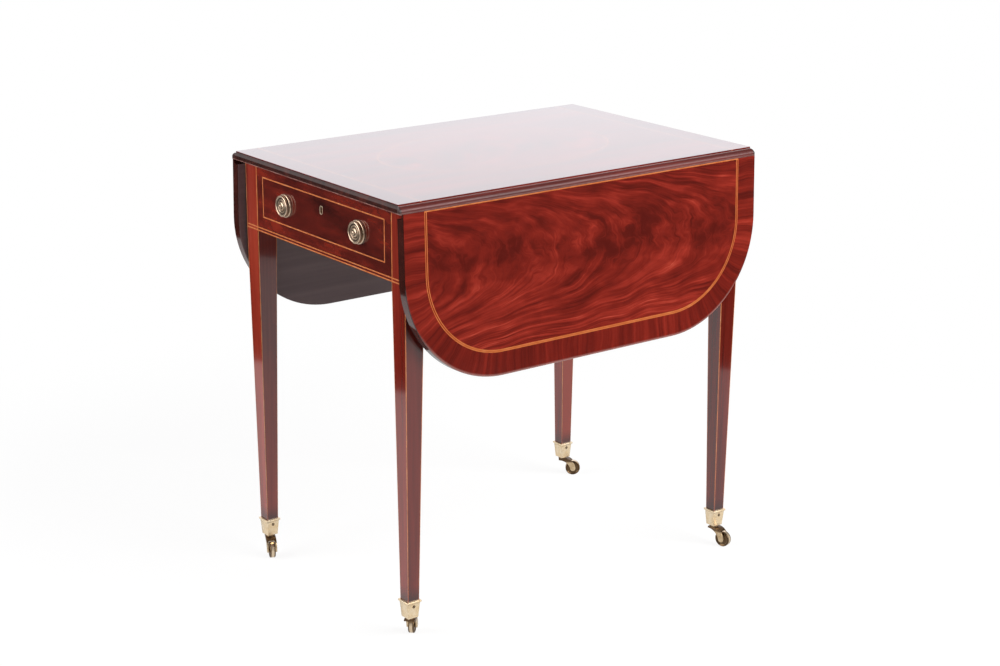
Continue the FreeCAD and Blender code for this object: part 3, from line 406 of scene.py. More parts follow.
def leaf_rim_place(wood, down):
    """How far in from the leaf's rim a point lies, and how far round the rim it is."""
    half = abs(wood.y)
    past_side = (half - (LEAF_HALF - LEAF_CORNER)).most(0.0)
    past_foot = (down - (LEAF_REACH - LEAF_CORNER)).most(0.0)
    inset = LEAF_CORNER - past_side.length(past_foot)
    straight = half.least(LEAF_HALF - LEAF_CORNER) - down.least(LEAF_REACH - LEAF_CORNER)
    round_rim = straight + past_side.angle(past_foot) * LEAF_CORNER
    return inset, round_rim


def leaf_boxwood(wood, inset, round_rim):
    """The boxwood of the two lines round the leaf, a little uneven."""
    wear = wood.noise(wood.point(round_rim * 50, inset * 100, 3.0), 2.0)
    return wood.ramp(0.5 + (wear - 0.5) * 0.8, ORANGE_BOXWOOD)


def leaf_veneer(side):
    """Flame veneer on the leaf's face, with painted light towards its foot and painted shade towards the hinge,
    stained edges and a dull underside.
    """
    wood = new_finish(f"leaf_veneer_{side}")
    proud, along, down = leaf_place(wood, SIDES[side])
    wander = (wood.noise(wood.point(along * 5, 0.0, 4.0)) - 0.5) * 0.05
    off = down - (FLAME_HEART + along * FLAME_SLOPE + wander)
    # Painted light and shade: the face is lighter below the flame's heart and darker above it, towards the hinge.
    painted_light_low = wood.rise(off, 0.0, 0.13) * 0.09
    painted_shade_high = wood.rise(off, -0.02, -0.09) * 0.04
    light = crotch_figure(wood, along, off, 2.0 + SIDES[side]) + painted_light_low - painted_shade_high
    face = wood.ramp(light, MAHOGANY)
    edge_grain = straight_grain(wood, along, down, proud)
    edge = wood.ramp(edge_grain, EDGE_STAIN)
    under = wood.ramp(edge_grain, UNDERSIDE_STAIN)
    on_face = wood.rise(proud, LEAF_FACE - 1.1 * MM, LEAF_FACE - 0.6 * MM)
    on_back = 1.0 - wood.rise(proud, LEAF_BACK, LEAF_BACK + 0.4 * MM)
    french_polish(wood, wood.mix(on_back, wood.mix(on_face, edge, face), under))
    wood.lay({"Coat Weight": on_face * (1 - EDGE_COAT) + EDGE_COAT - on_back * 0.25,
              "Roughness": POLISH_ROUGHNESS + on_back * 0.4})
    return wood.block


def leaf_crossband(side):
    """The band round the leaf, with a painted highlight along the rim at its foot, and the outer line along its
    inner edge.
    """
    wood = new_finish(f"leaf_crossband_{side}")
    proud, along, down = leaf_place(wood, SIDES[side])
    inset, round_rim = leaf_rim_place(wood, down)
    stripes = cross_grain(wood, round_rim, inset, along.above(0.0) * 3.7)
    lively = wood.rise(down, *LIVELY_BAND)
    contrast = (stripes - BAND_LIGHT) * (1.25 + lively * 0.65)
    band = wood.ramp(0.42 + lively * 0.05 + contrast, MAHOGANY)
    line_start = BAND_WIDTH - OUTER_LINE
    in_line = wood.rise(inset, line_start - LINE_BLUR, line_start + LINE_BLUR)
    face = wood.mix(in_line, band, leaf_boxwood(wood, inset, round_rim))
    edge = wood.ramp(straight_grain(wood, along, down, proud), EDGE_STAIN)
    on_face = wood.rise(proud, LEAF_FACE - 0.35 * MM, LEAF_FACE - 0.1 * MM)
    # Painted highlight: a pale line along the rim of the leaf's foot.
    painted_highlight = wood.rise(inset, 5.0 * MM, 0.6 * MM) * wood.rise(down, *HIGHLIGHT_FOOT) * 0.7
    french_polish(wood, wood.mix(painted_highlight, wood.mix(on_face, edge, face), PAINTED_HIGHLIGHT_TONE))
    wood.lay({"Coat Weight": on_face * (1 - EDGE_COAT) + EDGE_COAT})
    return wood.block


def leaf_line(side):
    """The inner line round the leaf, and the strip that parts it from the outer one, bled at the foot."""
    wood = new_finish(f"leaf_line_{side}")
    _, _, down = leaf_place(wood, SIDES[side])
    inset, round_rim = leaf_rim_place(wood, down)
    strip_end = BAND_WIDTH + LINE_GAP
    strip = wood.rise(inset, strip_end + LINE_BLUR, strip_end - LINE_BLUR)
    hinge_edge = wood.rise(down, 3.2 * MM, 2.4 * MM)
    bled = wood.rise(down, *BLED_FOOT) * 0.7
    strip = strip * (1.0 - hinge_edge) * (1.0 - bled)
    french_polish(wood, wood.mix(strip, leaf_boxwood(wood, inset, round_rim), STRIP_BETWEEN_LINES))
    return wood.block


def top_veneer():
    """A flame oval in straight-grained veneer, dark end mouldings, dull rule-joint sides and a bare back, with
    painted highlights along the mouldings' foot and the joint's lip.
    """
    wood = new_finish("top_veneer")
    wander = (wood.noise(wood.point(wood.y * 4, 0.0, 2.0)) - 0.5) * 0.05
    flame = wood.ramp(crotch_figure(wood, wood.y, wood.x - wander, 7.0) + 0.14, MAHOGANY)
    grain = straight_grain(wood, wood.y, wood.x, wood.z, 3.0)
    ground = wood.ramp(grain, MAHOGANY)
    oval_x = wood.x / (OVAL_WIDTH / 2)
    oval_y = wood.y / (OVAL_LENGTH / 2)
    inside = wood.rise(oval_x.length(oval_y), 0.992, 0.984)
    face = wood.mix(inside, ground, flame)
    on_face = wood.rise(wood.z, TOP_HIGH.z - 1.0 * MM, TOP_HIGH.z - 0.3 * MM)
    on_end = wood.rise(abs(wood.y), LEAF_HALF - 0.6 * MM, LEAF_HALF - 0.1 * MM)
    mould = wood.mix(on_end, ground, wood.ramp(grain, DARK_MAHOGANY))
    dull = wood.rise(abs(wood.x), HINGE_X + 0.4 * MM, HINGE_X + 2 * MM) * (1.0 - on_face)
    # The rule joint's sides are painted darker.
    darkened = wood.mix(dull * 0.4, mould, RULE_JOINT_DARK)
    bare = wood.rise(wood.z, TOP_LOW.z + 0.5 * MM, TOP_LOW.z + 0.2 * MM)
    outside = wood.mix(bare, wood.mix(on_face, darkened, face), wood.ramp(grain, BARE_MAHOGANY))
    bruises = wood.rise(wood.noise(wood.point(wood.x * 70, wood.y * 70, 0.0), 4.0, 0.7), 0.4, 0.62)
    # Painted highlights: pale lines along the foot of each end moulding and the lip of the rule joint, broken by
    # specks.
    foot_of_mould = (wood.z - (TOP_LOW.z + 3.2 * MM)).hump(0.8 * MM) * on_end
    lip = wood.rise(wood.z, HINGE_Z + 2.2 * MM, HINGE_Z + 0.8 * MM)
    lip = lip * wood.rise(abs(wood.x), HINGE_X + 8 * MM, HINGE_X + 9 * MM)
    painted_highlight = foot_of_mould.most(lip * 0.3) * (bruises * 0.5 + 0.45)
    french_polish(wood, wood.mix(painted_highlight, outside, PAINTED_HIGHLIGHT_TONE))
    wood.lay({"Coat Weight": (1.0 - dull * 0.9) * (1.0 - bare),
              "Roughness": POLISH_ROUGHNESS + (dull * (0.24 + bruises * 0.1)).most(bare * 0.45)})
    return wood.block


def top_crossband():
    wood = new_finish("top_crossband")
    french_polish(wood, wood.ramp(cross_grain(wood, wood.x, wood.y, wood.y.above(0.0) * 4.3), MAHOGANY))
    return wood.block


def leg_mahogany():
    """Straight-grained legs, with painted light and shade by leg and face, darker on the sides, and painted shade
    and dirt above the cups.
    """
    wood = new_finish("leg_mahogany")
    from_x = abs(abs(wood.x) - LEG_X)
    from_y = abs(abs(wood.y) - LEG_Y)
    on_side = wood.rise(from_x - from_y, -0.3 * MM, 0.3 * MM)
    on_front = 1.0 - on_side
    right = wood.x.above(0.0)
    back = wood.y.above(0.0)
    left = 1.0 - right
    front = 1.0 - back
    # Painted light and shade: front-left front lighter, back-right front darker, left sides lighter, right sides
    # darker.
    painted_light_patch = (wood.z - PAINTED_LIGHT_Z).hump(PAINTED_LIGHT_HALF) * 0.24
    painted_front_shade = on_front * (left * front * (painted_light_patch + 0.15) - right * back * 0.4)
    painted_side_shade = on_side * (left * (back * 0.4 + 0.2) - right * 0.15)
    light = straight_grain(wood, wood.z, wood.x, wood.y) + painted_front_shade + painted_side_shade
    clean = wood.mix(on_side, wood.ramp(light, LEG_MAHOGANY), wood.ramp(light, LEG_SHADED_SIDE_MAHOGANY))
    # Painted shade and dirt: darker just above the cups.
    shade_and_dirt = wood.rise(wood.z, CUP_TOP + 30 * MM, CUP_TOP) * 0.75
    french_polish(wood, wood.mix(shade_and_dirt, clean, LEG_SHADE_AND_DIRT))
    return wood.block


def frieze_mahogany():
    """Mottled veneer on the drawer front and the dummy front, darkest about the keyhole, bare inside."""
    wood = new_finish("frieze_mahogany")
    blotch = wood.noise(wood.point(wood.x * 9, wood.y * 13, wood.z * 24), 3.0, 0.55, 0.8)
    curl = wood.noise(wood.point(wood.x * 40, wood.y * 40, wood.z * 110), 2.0, 0.5, 0.4)
    fibres = wood.noise(wood.point(wood.x * 50, wood.y * 50, wood.z * 420), 2.0)
    outside_x = wood.rise(abs(wood.x), FRONT_LINE_HIGH.x - MM, FRONT_LINE_HIGH.x + MM)
    outside_low = wood.rise(wood.z, FRONT_LINE_LOW.z + MM, FRONT_LINE_LOW.z - MM)
    outside_high = wood.rise(wood.z, FRONT_LINE_HIGH.z - MM, FRONT_LINE_HIGH.z + MM)
    border = outside_x.most(outside_low).most(outside_high)
    dark_patch = (wood.x - DARK_PATCH_X).hump(DARK_PATCH_HALF) * (1.0 - border)
    light = 0.52 + (blotch - 0.5) * 1.4 + (curl - 0.5) * 0.35 + (fibres - 0.5) * 0.2 - dark_patch * 0.2
    bare = wood.rise(abs(wood.y), DUMMY_FACE - 1.2 * MM, DUMMY_FACE - 2.0 * MM)
    inner = wood.ramp(straight_grain(wood, wood.x, wood.z, wood.y), BARE_MAHOGANY)
    french_polish(wood, wood.mix(bare, wood.ramp(light, DRAWER_MAHOGANY), inner))
    wood.lay({"Coat Weight": 1.0 - bare, "Roughness": POLISH_ROUGHNESS + bare * 0.45})
    return wood.block


def rail_mahogany():
    wood = new_finish("rail_mahogany")
    french_polish(wood, wood.ramp(straight_grain(wood, wood.x, wood.z, wood.y, 5.0), MAHOGANY))
    return wood.block


def boxwood_line(name, stops):
    """A plain inlaid line, a little uneven."""
    wood = new_finish(name)
    french_polish(wood, wood.ramp(0.5 + (wood.clouds(130) - 0.5) * 1.2, stops))
    return wood.block


def carcase_line():
    """Lines along the arrises of the legs, worn thin and brown towards the feet, with painted shade and dirt above
    the cups, and across the frieze.
    """
    wood = new_finish("carcase_line")
    wear = wood.noise(wood.point(wood.x * 130, wood.y * 130, wood.z * 60), 3.0)
    taper = ((FRIEZE_Z - wood.z) / (FRIEZE_Z - CUP_TOP)).most(0.0)
    half = LEG_HALF - taper * (LEG_HALF - FOOT_HALF)
    from_x = abs(abs(wood.x) - LEG_X)
    from_y = abs(abs(wood.y) - LEG_Y - taper * FOOT_SPLAY)
    in_from_arris = half - from_x.least(from_y)
    below = wood.rise(wood.z, FRIEZE_Z + 0.5 * MM, FRIEZE_Z - 0.5 * MM)
    thin = wood.rise(in_from_arris, 0.8 * MM, 1.3 * MM) * below
    light = 0.5 + (wear - 0.5) * 1.2 - taper * 0.15
    brown = wood.mix(taper * 0.3, wood.ramp(light, BOXWOOD), BROWNED_BOXWOOD)
    # Painted shade and dirt: the lines darker just above the cups.
    shade_and_dirt = wood.rise(wood.z, CUP_TOP + 40 * MM, CUP_TOP) * 0.7
    french_polish(wood, wood.mix(thin.most(shade_and_dirt), brown, WORN_SHADED_AND_DIRTY_LINE))
    return wood.block


# Plain woods

OLD_PINE = [(0.0, tone(112, 74, 44)), (0.5, tone(156, 112, 70)), (1.0, tone(188, 146, 98))]
OLD_BEECH = [(0.0, tone(116, 76, 48)), (0.5, tone(150, 104, 68)), (1.0, tone(178, 132, 92))]
OLD_OAK = [(0.0, tone(118, 84, 52)), (0.5, tone(160, 122, 80)), (1.0, tone(192, 156, 110))]
PORE_BROWN = tone(54, 34, 20)
PORE_DEPTH = -0.08 * MM


def plain_wood(name, stops, along, roughness):
    """Unpolished wood of the inside, its grain along one axis."""
    wood = new_finish(name)
    axes = {"x": (wood.x, wood.y, wood.z), "y": (wood.y, wood.x, wood.z)}
    light = straight_grain(wood, *axes[along])
    pores = pore_marks(wood, *axes[along])
    wood.lay({"Base Color": wood.mix(pores * 0.35, wood.ramp(light, stops), PORE_BROWN),
              "Roughness": roughness + (light - 0.5) * 0.15, "Normal": wood.bump(pores, PORE_DEPTH)})
    return wood.block


# Metal

BRASS_GRIME_AND_SHADE = tone(74, 54, 30)
KNOB_GRIME_AND_SHADE = tone(42, 28, 20)
CUP_SHADE_AND_DIRT = tone(112, 80, 52)
CROWN_SHADE = tone(104, 80, 56)
DARK_WHEEL = tone(104, 82, 58)
TREAD_HIGHLIGHT = tone(240, 216, 184)
RUSTY_IRON = [(0.3, tone(58, 54, 52)), (0.55, tone(92, 82, 74)), (0.75, tone(112, 74, 48))]


def cloudy_brass(metal, cloud, dull, bright):
    return metal.ramp(cloud, [(0.3, dull), (0.7, bright)])


def old_brass(name, dull, bright, roughness=0.22):
    """Lacquered brass a little cloudy, darkened with grime and painted shade in the recesses where a cloth can't
    reach.
    """
    metal = new_finish(name)
    cloud = metal.clouds(90)
    scratch = metal.noise(metal.point(metal.x * 700, metal.y * 700, metal.z * 160), 2.0)
    shelter = 1.0 - metal.add("ShaderNodeAmbientOcclusion", {"samples": 8}, {"Distance": 4 * MM}, "AO")
    # Grime and painted shade: the brass darkens in its recesses, by ambient occlusion.
    patina_and_shade = metal.rise(shelter + (cloud - 0.5) * 0.3, 0.3, 0.8)
    metal.lay({"Base Color": metal.mix(patina_and_shade, cloudy_brass(metal, cloud, dull, bright), BRASS_GRIME_AND_SHADE),
               "Metallic": 0.8, "Roughness": roughness + (scratch - 0.5) * 0.12 + patina_and_shade * 0.25})
    return metal.block


def knob_brass():
    """Brass darkened in the hollows that the lathe left round each knob, by old lacquer gone dark and by painted
    shade.
    """
    metal = new_finish("knob_brass")
    cloud = metal.clouds(90)
    out = (abs(metal.x) - KNOB_X).length(metal.z - KNOB_Z)
    height = abs(metal.y) - DUMMY_FACE
    # Painted shade in the neck, and grime with painted shade in the hollows of the face.
    hollow = (height - NECK_HEIGHT).hump(1.1 * MM) * metal.rise(out, 16.4 * MM, 15.6 * MM)
    for radius, width in KNOB_HOLLOWS:
        hollow = hollow.most((out - radius).hump(width))
    dark = hollow * (0.85 + cloud * 0.3)
    colour = cloudy_brass(metal, cloud, tone(208, 178, 150), tone(238, 212, 186))
    metal.lay({"Base Color": metal.mix(dark, colour, KNOB_GRIME_AND_SHADE), "Metallic": 0.8,
               "Roughness": 0.22 + dark * 0.2})
    return metal.block


def cup_brass():
    """Pale brass with a dark line under the lip, painted shade and dirt."""
    metal = new_finish("cup_brass")
    cloud = metal.clouds(90)
    # Painted shade and dirt: a dark line under the lip.
    shade_and_dirt = (metal.z - (CUP_TOP - 3.6 * MM)).hump(0.8 * MM) * (0.5 + cloud * 0.5)
    colour = cloudy_brass(metal, cloud, tone(244, 214, 168), tone(255, 236, 204))
    metal.lay({"Base Color": metal.mix(shade_and_dirt, colour, CUP_SHADE_AND_DIRT), "Metallic": 0.6,
               "Roughness": 0.26 + shade_and_dirt * 0.2})
    return metal.block


def horn_brass():
    """Pale brass with painted shade on the crown of the horn, under the cup."""
    metal = new_finish("horn_brass")
    cloud = metal.clouds(120)
    # Painted shade: the crown, under the cup, darker.
    crown_shade = metal.rise(metal.z + (cloud - 0.5) * 4 * MM, 25 * MM, 29 * MM)
    colour = cloudy_brass(metal, cloud, tone(196, 166, 126), tone(238, 214, 176))
    metal.lay({"Base Color": metal.mix(crown_shade, colour, CROWN_SHADE), "Metallic": 0.8,
               "Roughness": 0.24 + crown_shade * 0.15})
    return metal.block


def wheel_brass():
    """A dark wheel with a painted highlight along the middle of its tread."""
    metal = new_finish("wheel_brass")
    across = metal.add("ShaderNodeAttribute", {"attribute_name": "across"}, {}, "Fac")
    # Painted highlight along the middle of the tread.
    bright = metal.rise(abs(across) + (metal.clouds(160) - 0.5) * 0.3, 0.65, 0.35)
    metal.lay({"Base Color": metal.mix(bright, DARK_WHEEL, TREAD_HIGHLIGHT), "Metallic": 0.9,
               "Roughness": 0.28 - bright * 0.06})
    return metal.block


def old_iron():
    """Dull iron with a bloom of rust."""
    metal = new_finish("old_iron")
    bloom = metal.noise(metal.point(metal.x * 120, metal.y * 120, metal.z * 120), 4.0, 0.6)
    metal.lay({"Base Color": metal.ramp(bloom, RUSTY_IRON),
               "Metallic": 0.75 - metal.rise(bloom, 0.55, 0.75) * 0.5,
               "Roughness": 0.42 + (bloom - 0.5) * 0.4})
    return metal.block


# Shapes

def rounded(outline_corners, points=4):
    """The outline through some corners, with an arc in place of each that has a rounding."""
    outline = []
    for index, (radius, height, rounding) in enumerate(outline_corners):
        corner = Vector((radius, height))
        if not rounding:
            outline.append(corner)
            continue
        before = corner + (Vector(outline_corners[index - 1][:2]) - corner).normalized() * rounding
        after = corner + (Vector(outline_corners[index + 1][:2]) - corner).normalized() * rounding
        handles = [end.lerp(corner, ARC_HANDLE) for end in (before, after)]
        outline += interpolate_bezier(before, *handles, after, points)
    return outline


def lathe(shape, profile, centre, axis, steps):
    """Turns a profile of (radius, height) points in mm about an axis."""
    centre = Vector(centre)
    axis = Vector(axis)
    across = axis.orthogonal().normalized()
    places = [centre + across * radius * MM + axis * height * MM for radius, height in profile]
    points = [shape.verts.new(place) for place in places]
    lines = [shape.edges.new(ends) for ends in zip(points, points[1:])]
    bmesh.ops.spin(shape, geom=points + lines, cent=centre, axis=axis, angle=math.tau, steps=steps,
                   use_merge=True)


def softened(name, width):
    """A copy of a CAD piece with its sharp edges rounded off."""
    shape = bmesh.new()
    shape.from_mesh(frame["nodes"][name].data)
    bmesh.ops.remove_doubles(shape, verts=shape.verts, dist=MERGE_COPY)
    bmesh.ops.dissolve_limit(shape, angle_limit=FLAT_ANGLE, verts=shape.verts, edges=shape.edges)
    keen = [edge for edge in shape.edges if edge.is_manifold and edge.calc_face_angle() > KEEN_ANGLE]
    bmesh.ops.bevel(shape, geom=keen, offset=width, offset_type="OFFSET", segments=2, profile=0.5,
                    affect="EDGES", clamp_overlap=True, material=-1)
    return shape


def mesh_of(name, shape):
    """A mesh made from a finished shape, which is freed."""
    mesh = bpy.data.meshes.new(name)
    shape.to_mesh(mesh)
    shape.free()
    return mesh


def show(name, data):
    """A new object of the scene, at the origin."""
    thing = bpy.data.objects.new(name, data)
    bpy.context.scene.collection.objects.link(thing)
    return thing


def add_screw(shape, centre, axis, slot_along, radius):
    """Adds a wood screw's slotted head, standing a hair proud of the metal it holds."""
    head = bmesh.new()
    profile = ((radius, -0.1), (radius, 0.08), (radius * 0.8, 0.24), (radius * 0.4, 0.34), (0.0, 0.36))
    lathe(head, profile, centre, axis, SCREW_STEPS)
    bmesh.ops.remove_doubles(head, verts=head.verts, dist=MERGE_NEAR)
    centre = Vector(centre)
    axis = Vector(axis)
    across = axis.cross(Vector(slot_along)).normalized()
    half_slot = radius * SLOT_SHARE * MM
    for side in (1, -1):
        whole = head.verts[:] + head.edges[:] + head.faces[:]
        bmesh.ops.bisect_plane(head, geom=whole, plane_co=centre + across * half_slot * side, plane_no=across)
    floor = [face for face in head.faces if abs((face.calc_center_median() - centre).dot(across)) < half_slot]
    sunk = bmesh.ops.extrude_face_region(head, geom=floor)["geom"]
    bmesh.ops.delete(head, geom=floor, context="FACES")
    sunk_verts = [item for item in sunk if isinstance(item, bmesh.types.BMVert)]
    bmesh.ops.translate(head, vec=axis * -SLOT_DEPTH, verts=sunk_verts)
    form = mesh_of("screw_form", head)
    shape.from_mesh(form)
    bpy.data.meshes.remove(form)


def dress(finish, *names):
    """Gives CAD nodes a finish."""
    for name in names:
        node = frame["nodes"][name]
        for slot in node.material_slots:
            slot.material = finish


def add_piece(name, shape, finish, body, slot, *nodes):
    """Makes a shape into a piece that rides on a body, in place of the CAD nodes named."""
    bmesh.ops.remove_doubles(shape, verts=shape.verts, dist=MERGE_NEAR)
    bmesh.ops.recalc_face_normals(shape, faces=shape.faces)
    for face in shape.faces:
        face.smooth = True
    mesh = mesh_of(name, shape)
    mesh.set_sharp_from_angle(angle=SHARP_ANGLE)
    mesh.materials.append(finish)
    piece = show(name, mesh)
    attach(piece, body)
    if nodes:
        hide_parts(*nodes)
        dress(finish, *nodes)


def turned_knobs(brass):
    """A pair of knobs on the drawer and on the dummy front."""
    for label, face, outward in (("drawer_knobs", DRAWER_FACE, -1), ("dummy_knobs", DUMMY_FACE, 1)):
        shape = bmesh.new()
        for side in SIDES.values():
            centre = (KNOB_X * side, face, KNOB_Z)
            lathe(shape, rounded(KNOB_CORNERS), centre, (0.0, outward, 0.0), KNOB_STEPS)
        add_piece(f"turned_{label}", shape, brass, BODIES[label], "brass", label)


def soft_castors(cup, horn, wheel):
    """Cups, horns and wheels; a wheel's points know how far across its tread they lie."""
    for stem, brass in (("castor_cup", cup), ("castor_horn", horn)):
        for name in corners(stem):
            add_piece(f"soft_{name}", softened(name, BRASS_SOFTENING), brass, BODIES[name], "brass", name)
    for name in corners("castor_wheel"):
        shape = softened(name, WHEEL_SOFTENING)
        axle = joints[name.replace("wheel_", "") + "_roll"]
        across = shape.verts.layers.float.new("across")
        for vert in shape.verts:
            vert[across] = (vert.co - Vector(axle["pos_m"])).dot(Vector(axle["axis"])) / WHEEL_HALF
        add_piece(f"soft_{name}", shape, wheel, BODIES[name], "brass", name)


def soft_escutcheon(brass):
    shape = softened("escutcheon", BRASS_SOFTENING)
    add_piece("soft_escutcheon", shape, brass, BODIES["escutcheon"], "brass", "escutcheon")


def cup_screws(brass):
    shape = bmesh.new()
    for name in corners("castor_cup"):
        low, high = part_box(name)
        middle = (low + high) / 2
        for outward in (1, -1):
            axis = Vector((outward, 0.0, CUP_WALL_LEAN)).normalized()
            place = (middle.x + outward * CUP_SCREW_OUT, middle.y, high.z - CUP_SCREW_DROP)
            add_screw(shape, place, axis, (0.0, 0.8, 0.6), CUP_SCREW_RADIUS)
    add_piece("cup_screws", shape, brass, "carcase", "brass")


def hinge_screws(iron):
    """Three screws in each hinge flap, under the top and behind the leaves."""
    fixed = bmesh.new()
    for sign in SIDES.values():
        for row in HINGE_ROWS:
            for step in HINGE_SCREW_ROWS:
                place = (sign * (HINGE_X - HINGE_SCREW_REACH), row + step, HINGE_Z + LEAF_BACK)
                add_screw(fixed, place, (0.0, 0.0, -1.0), (1.0, 0.6, 0.0), HINGE_SCREW_RADIUS)
    add_piece("top_hinge_screws", fixed, iron, "carcase", "iron")
    lean_in = math.sin(LEAF_LEAN)
    lean_down = math.cos(LEAF_LEAN)
    out = HINGE_X + LEAF_BACK * lean_down + HINGE_SCREW_REACH * lean_in
    height = HINGE_Z + LEAF_BACK * lean_in - HINGE_SCREW_REACH * lean_down
    for side, sign in SIDES.items():
        swinging = bmesh.new()
        axis = Vector((-sign * lean_down, 0.0, -lean_in))
        for row in HINGE_ROWS:
            for step in HINGE_SCREW_ROWS:
                place = (sign * out, row + step, height)
                add_screw(swinging, place, axis, (0.0, 0.5, 0.8), HINGE_SCREW_RADIUS)
        add_piece(f"leaf_{side}_hinge_screws", swinging, iron, f"leaf_{side}", "iron")


def lock_screws(iron):
    shape = bmesh.new()
    for x in (-LOCK_SCREW_X, LOCK_SCREW_X):
        for z in (LOCK_LOW.z + LOCK_SCREW_INSET, LOCK_HIGH.z - LOCK_SCREW_INSET):
            add_screw(shape, (x, LOCK_HIGH.y, z), (0.0, 1.0, 0.0), (1.0, 0.0, 0.4), LOCK_SCREW_RADIUS)
    add_piece("lock_screws", shape, iron, "drawer", "iron")


def dress_woods():
    for side in SIDES:
        dress(leaf_veneer(side), f"leaf_{side}_board")
        dress(leaf_crossband(side), f"leaf_{side}_crossband")
        dress(leaf_line(side), f"leaf_{side}_stringing")
    dress(top_veneer(), "top_board")
    dress(top_crossband(), "top_crossbands")
    dress(boxwood_line("boxwood_line", BOXWOOD), "drawer_front_stringing")
    dress(boxwood_line("faded_line", FADED_BOXWOOD), "top_stringing")
    dress(carcase_line(), "carcase_stringing")
    dress(leg_mahogany(), *corners("leg"))
    dress(frieze_mahogany(), "drawer_front", "dummy_drawer_front")
    dress(rail_mahogany(), "drawer_rail", "upper_rail")
    pine = plain_wood("old_pine", OLD_PINE, "y", 0.62)
    dress(pine, *pair("side_rail"), "drawer_runners", "drawer_kickers", "drawer_stops")
    beech = plain_wood("old_beech", OLD_BEECH, "y", 0.55)
    dress(beech, *pair("fly_rail"), *corners("fly_bracket"))
    dress(plain_wood("old_oak", OLD_OAK, "y", 0.58), *pair("drawer_side"), "drawer_bottom")
    dress(plain_wood("old_oak_back", OLD_OAK, "x", 0.58), "drawer_back")


def dress_metal():
    worn = old_brass("worn_brass", tone(188, 154, 98), tone(230, 202, 148))
    tarnished = old_brass("tarnished_brass", tone(78, 56, 40), tone(116, 88, 62))
    bright = old_brass("bright_brass", tone(206, 182, 152), tone(232, 212, 186), 0.36)
    iron = old_iron()
    turned_knobs(knob_brass())
    soft_castors(cup_brass(), horn_brass(), wheel_brass())
    cup_screws(tarnished)
    hinge_screws(iron)
    lock_screws(iron)
    soft_escutcheon(bright)
    dress(worn, "lock_case")
    dress(iron, "hinge_top_flaps", "hinge_pins", "leaf_right_hinge_flaps", "leaf_left_hinge_flaps")
    dress(iron, "fly_pins", "lock_bolt")


# Studio

BLACK = (0.0, 0.0, 0.0, 1.0)
WHITE = (1.0, 1.0, 1.0, 1.0)
FLOOR_SIZE = 15.0
SHADOW_REACH = (1.5, 0.9)
SHADOW_SHARE = 0.14
SHADOW_PAINT = 1.35
BOUNCE_PAINT = 0.6
SKY_RISE = (0.05, 0.8)
SKY_GLOW = 0.5
SKY_FILL = 0.45

# The white paper on the floor as polish mirrors it: two directions across it, and where it ends along each
PAPER_SIDEWAYS = (0.60, 0.80)
PAPER_SIDE_EDGE = (1.38, 1.34)
PAPER_ENDWAYS = (0.33, 0.94)
PAPER_FRONT_EDGE = (-1.24, -1.20)
PAPER_GLOW = 0.7
FRONT_FLOOR = (-1.0, -1.6)
FRONT_FLOOR_GLOW = 0.02

# Place, width and height, radiance and tint of each lamp, which all aim at the middle of the table
TABLE_MIDDLE = (0.0, 0.0, 0.5)
SOFTBOXES = {
    "back_softbox": ((-3.1, 2.4, 1.6), (4.4, 2.4), 0.86, (0.975, 0.958, 1.025)),
    "key_softbox": ((2.9, 1.5, 1.9), (2.9, 2.9), 5.35, (1.0, 1.0, 1.0)),
    "fill_softbox": ((-1.2, -3.4, 1.5), (2.9, 2.9), 4.4, (1.0, 1.0, 1.0)),
}


def seen_by(finish):
    """1 where the eye sees a surface straight, and 1 where polish or glass shows it."""
    eye = finish.add("ShaderNodeLightPath", {}, {}, "Is Camera Ray")
    mirror = eye.other("Is Glossy Ray").most(eye.other("Is Transmission Ray"))
    return eye, mirror


def studio_floor():
    """A sweep, pure white to the eye but for the shadow, bright to polish close by, clear from below."""
    shape = bmesh.new()
    bmesh.ops.create_grid(shape, x_segments=1, y_segments=1, size=FLOOR_SIZE)
    floor = show("studio_floor", mesh_of("studio_floor", shape))
    white = new_finish("studio_white")
    eye, mirror = seen_by(white)
    shaded = eye * white.rise(white.x.length(white.y), *SHADOW_REACH) * SHADOW_SHARE
    sideways = white.x * PAPER_SIDEWAYS[0] + white.y * PAPER_SIDEWAYS[1]
    endways = white.x * PAPER_ENDWAYS[0] + white.y * PAPER_ENDWAYS[1]
    paper = white.rise(sideways, *PAPER_SIDE_EDGE) * white.rise(endways, *PAPER_FRONT_EDGE)
    in_front = white.rise(white.y, *FRONT_FLOOR) * FRONT_FLOOR_GLOW
    glow = eye - shaded + mirror * (paper * PAPER_GLOW).most(in_front)
    paint = shaded * SHADOW_PAINT + (1.0 - eye).least(1.0 - mirror) * BOUNCE_PAINT
    white.lay({"Base Color": white.mix(paint, BLACK, WHITE), "Roughness": 1.0, "Specular IOR Level": 0.0,
               "Emission Color": white.mix(glow, BLACK, WHITE), "Emission Strength": 1.0})
    below = white.add("ShaderNodeNewGeometry", {}, {}, "Backfacing")
    clear = white.add("ShaderNodeBsdfTransparent")
    opaque = Value(white, white.shader.outputs["BSDF"])
    surface = white.add("ShaderNodeMixShader", {}, (below, opaque, clear))
    white.feed(white.tree.nodes["Material Output"].inputs["Surface"], surface)
    floor.data.materials.append(white.block)


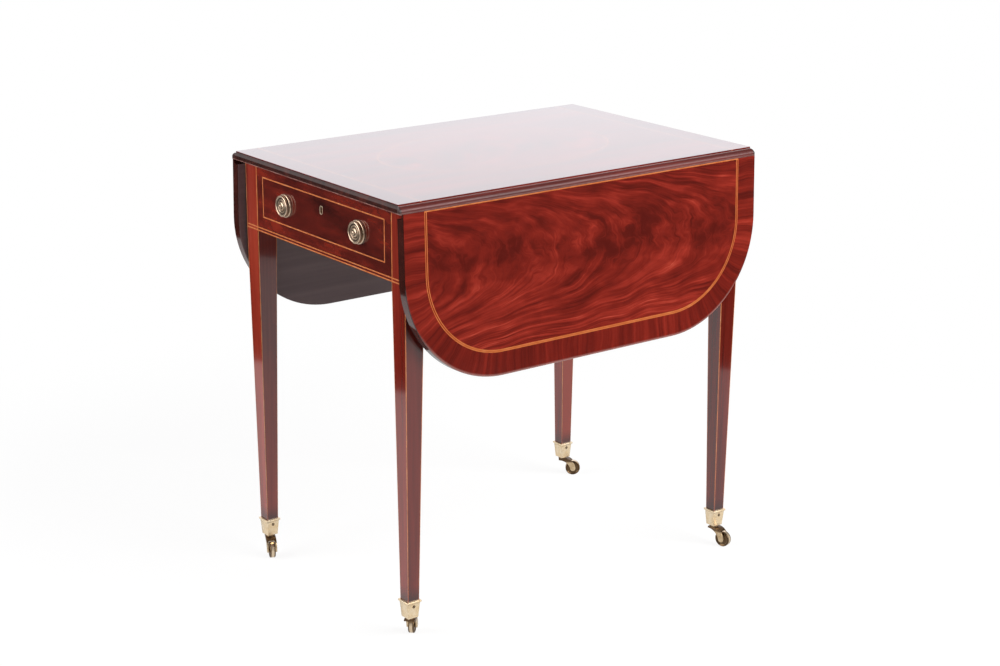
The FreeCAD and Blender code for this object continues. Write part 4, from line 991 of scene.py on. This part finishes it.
def studio_world():
    """White to the eye, a soft sky to polish, and a low fill for the shaded sides."""
    world = bpy.data.worlds.new("studio_world")
    sky = Finish(world, "Background").locate("Generated")
    eye, mirror = seen_by(sky)
    height = sky.rise(sky.z, *SKY_RISE)
    fill = (1.0 - eye).least(1.0 - mirror) * (1.0 - height * 0.8) * SKY_FILL
    glow = eye + mirror * (SKY_GLOW - height * 0.25) + fill
    sky.lay({"Color": sky.mix(glow, BLACK, WHITE)})
    bpy.context.scene.world = world


def studio_lamps():
    for name, (place, (width, height), radiance, tint) in SOFTBOXES.items():
        lamp = bpy.data.lights.new(name, "AREA")
        lamp.shape = "RECTANGLE"
        lamp.size = width
        lamp.size_y = height
        lamp.energy = radiance * math.pi * width * height
        lamp.color = tint
        softbox = show(name, lamp)
        softbox.location = place
        softbox.rotation_euler = (Vector(TABLE_MIDDLE) - Vector(place)).to_track_quat("-Z", "Y").to_euler()
        softbox.visible_camera = False


# Camera

CAMERA_PLACE = (2.7613, -2.0775, 1.4525)
CAMERA_AZIMUTH = math.radians(52.88)
CAMERA_ELEVATION = math.radians(16.93)
CAMERA_ROLL = math.radians(0.26)
CAMERA_LENS = 75.18
CAMERA_SENSOR = 36.0


def studio_camera():
    lens = bpy.data.cameras.new("studio_camera")
    lens.lens = CAMERA_LENS
    lens.sensor_width = CAMERA_SENSOR
    level = Vector((math.cos(CAMERA_AZIMUTH), math.sin(CAMERA_AZIMUTH), 0.0))
    outward = Vector((math.sin(CAMERA_AZIMUTH), -math.cos(CAMERA_AZIMUTH), 0.0))
    back = outward * math.cos(CAMERA_ELEVATION) + Vector((0.0, 0.0, math.sin(CAMERA_ELEVATION)))
    up = back.cross(level)
    right = level * math.cos(CAMERA_ROLL) + up * math.sin(CAMERA_ROLL)
    turn = Matrix((right, back.cross(right), back)).transposed().to_4x4()
    camera = show("studio_camera", lens)
    camera.matrix_world = Matrix.Translation(CAMERA_PLACE) @ turn
    bpy.context.scene.camera = camera


dress_woods()
dress_metal()
studio_floor()
studio_world()
studio_lamps()
studio_camera()
bpy.context.scene.view_settings.view_transform = "Standard"
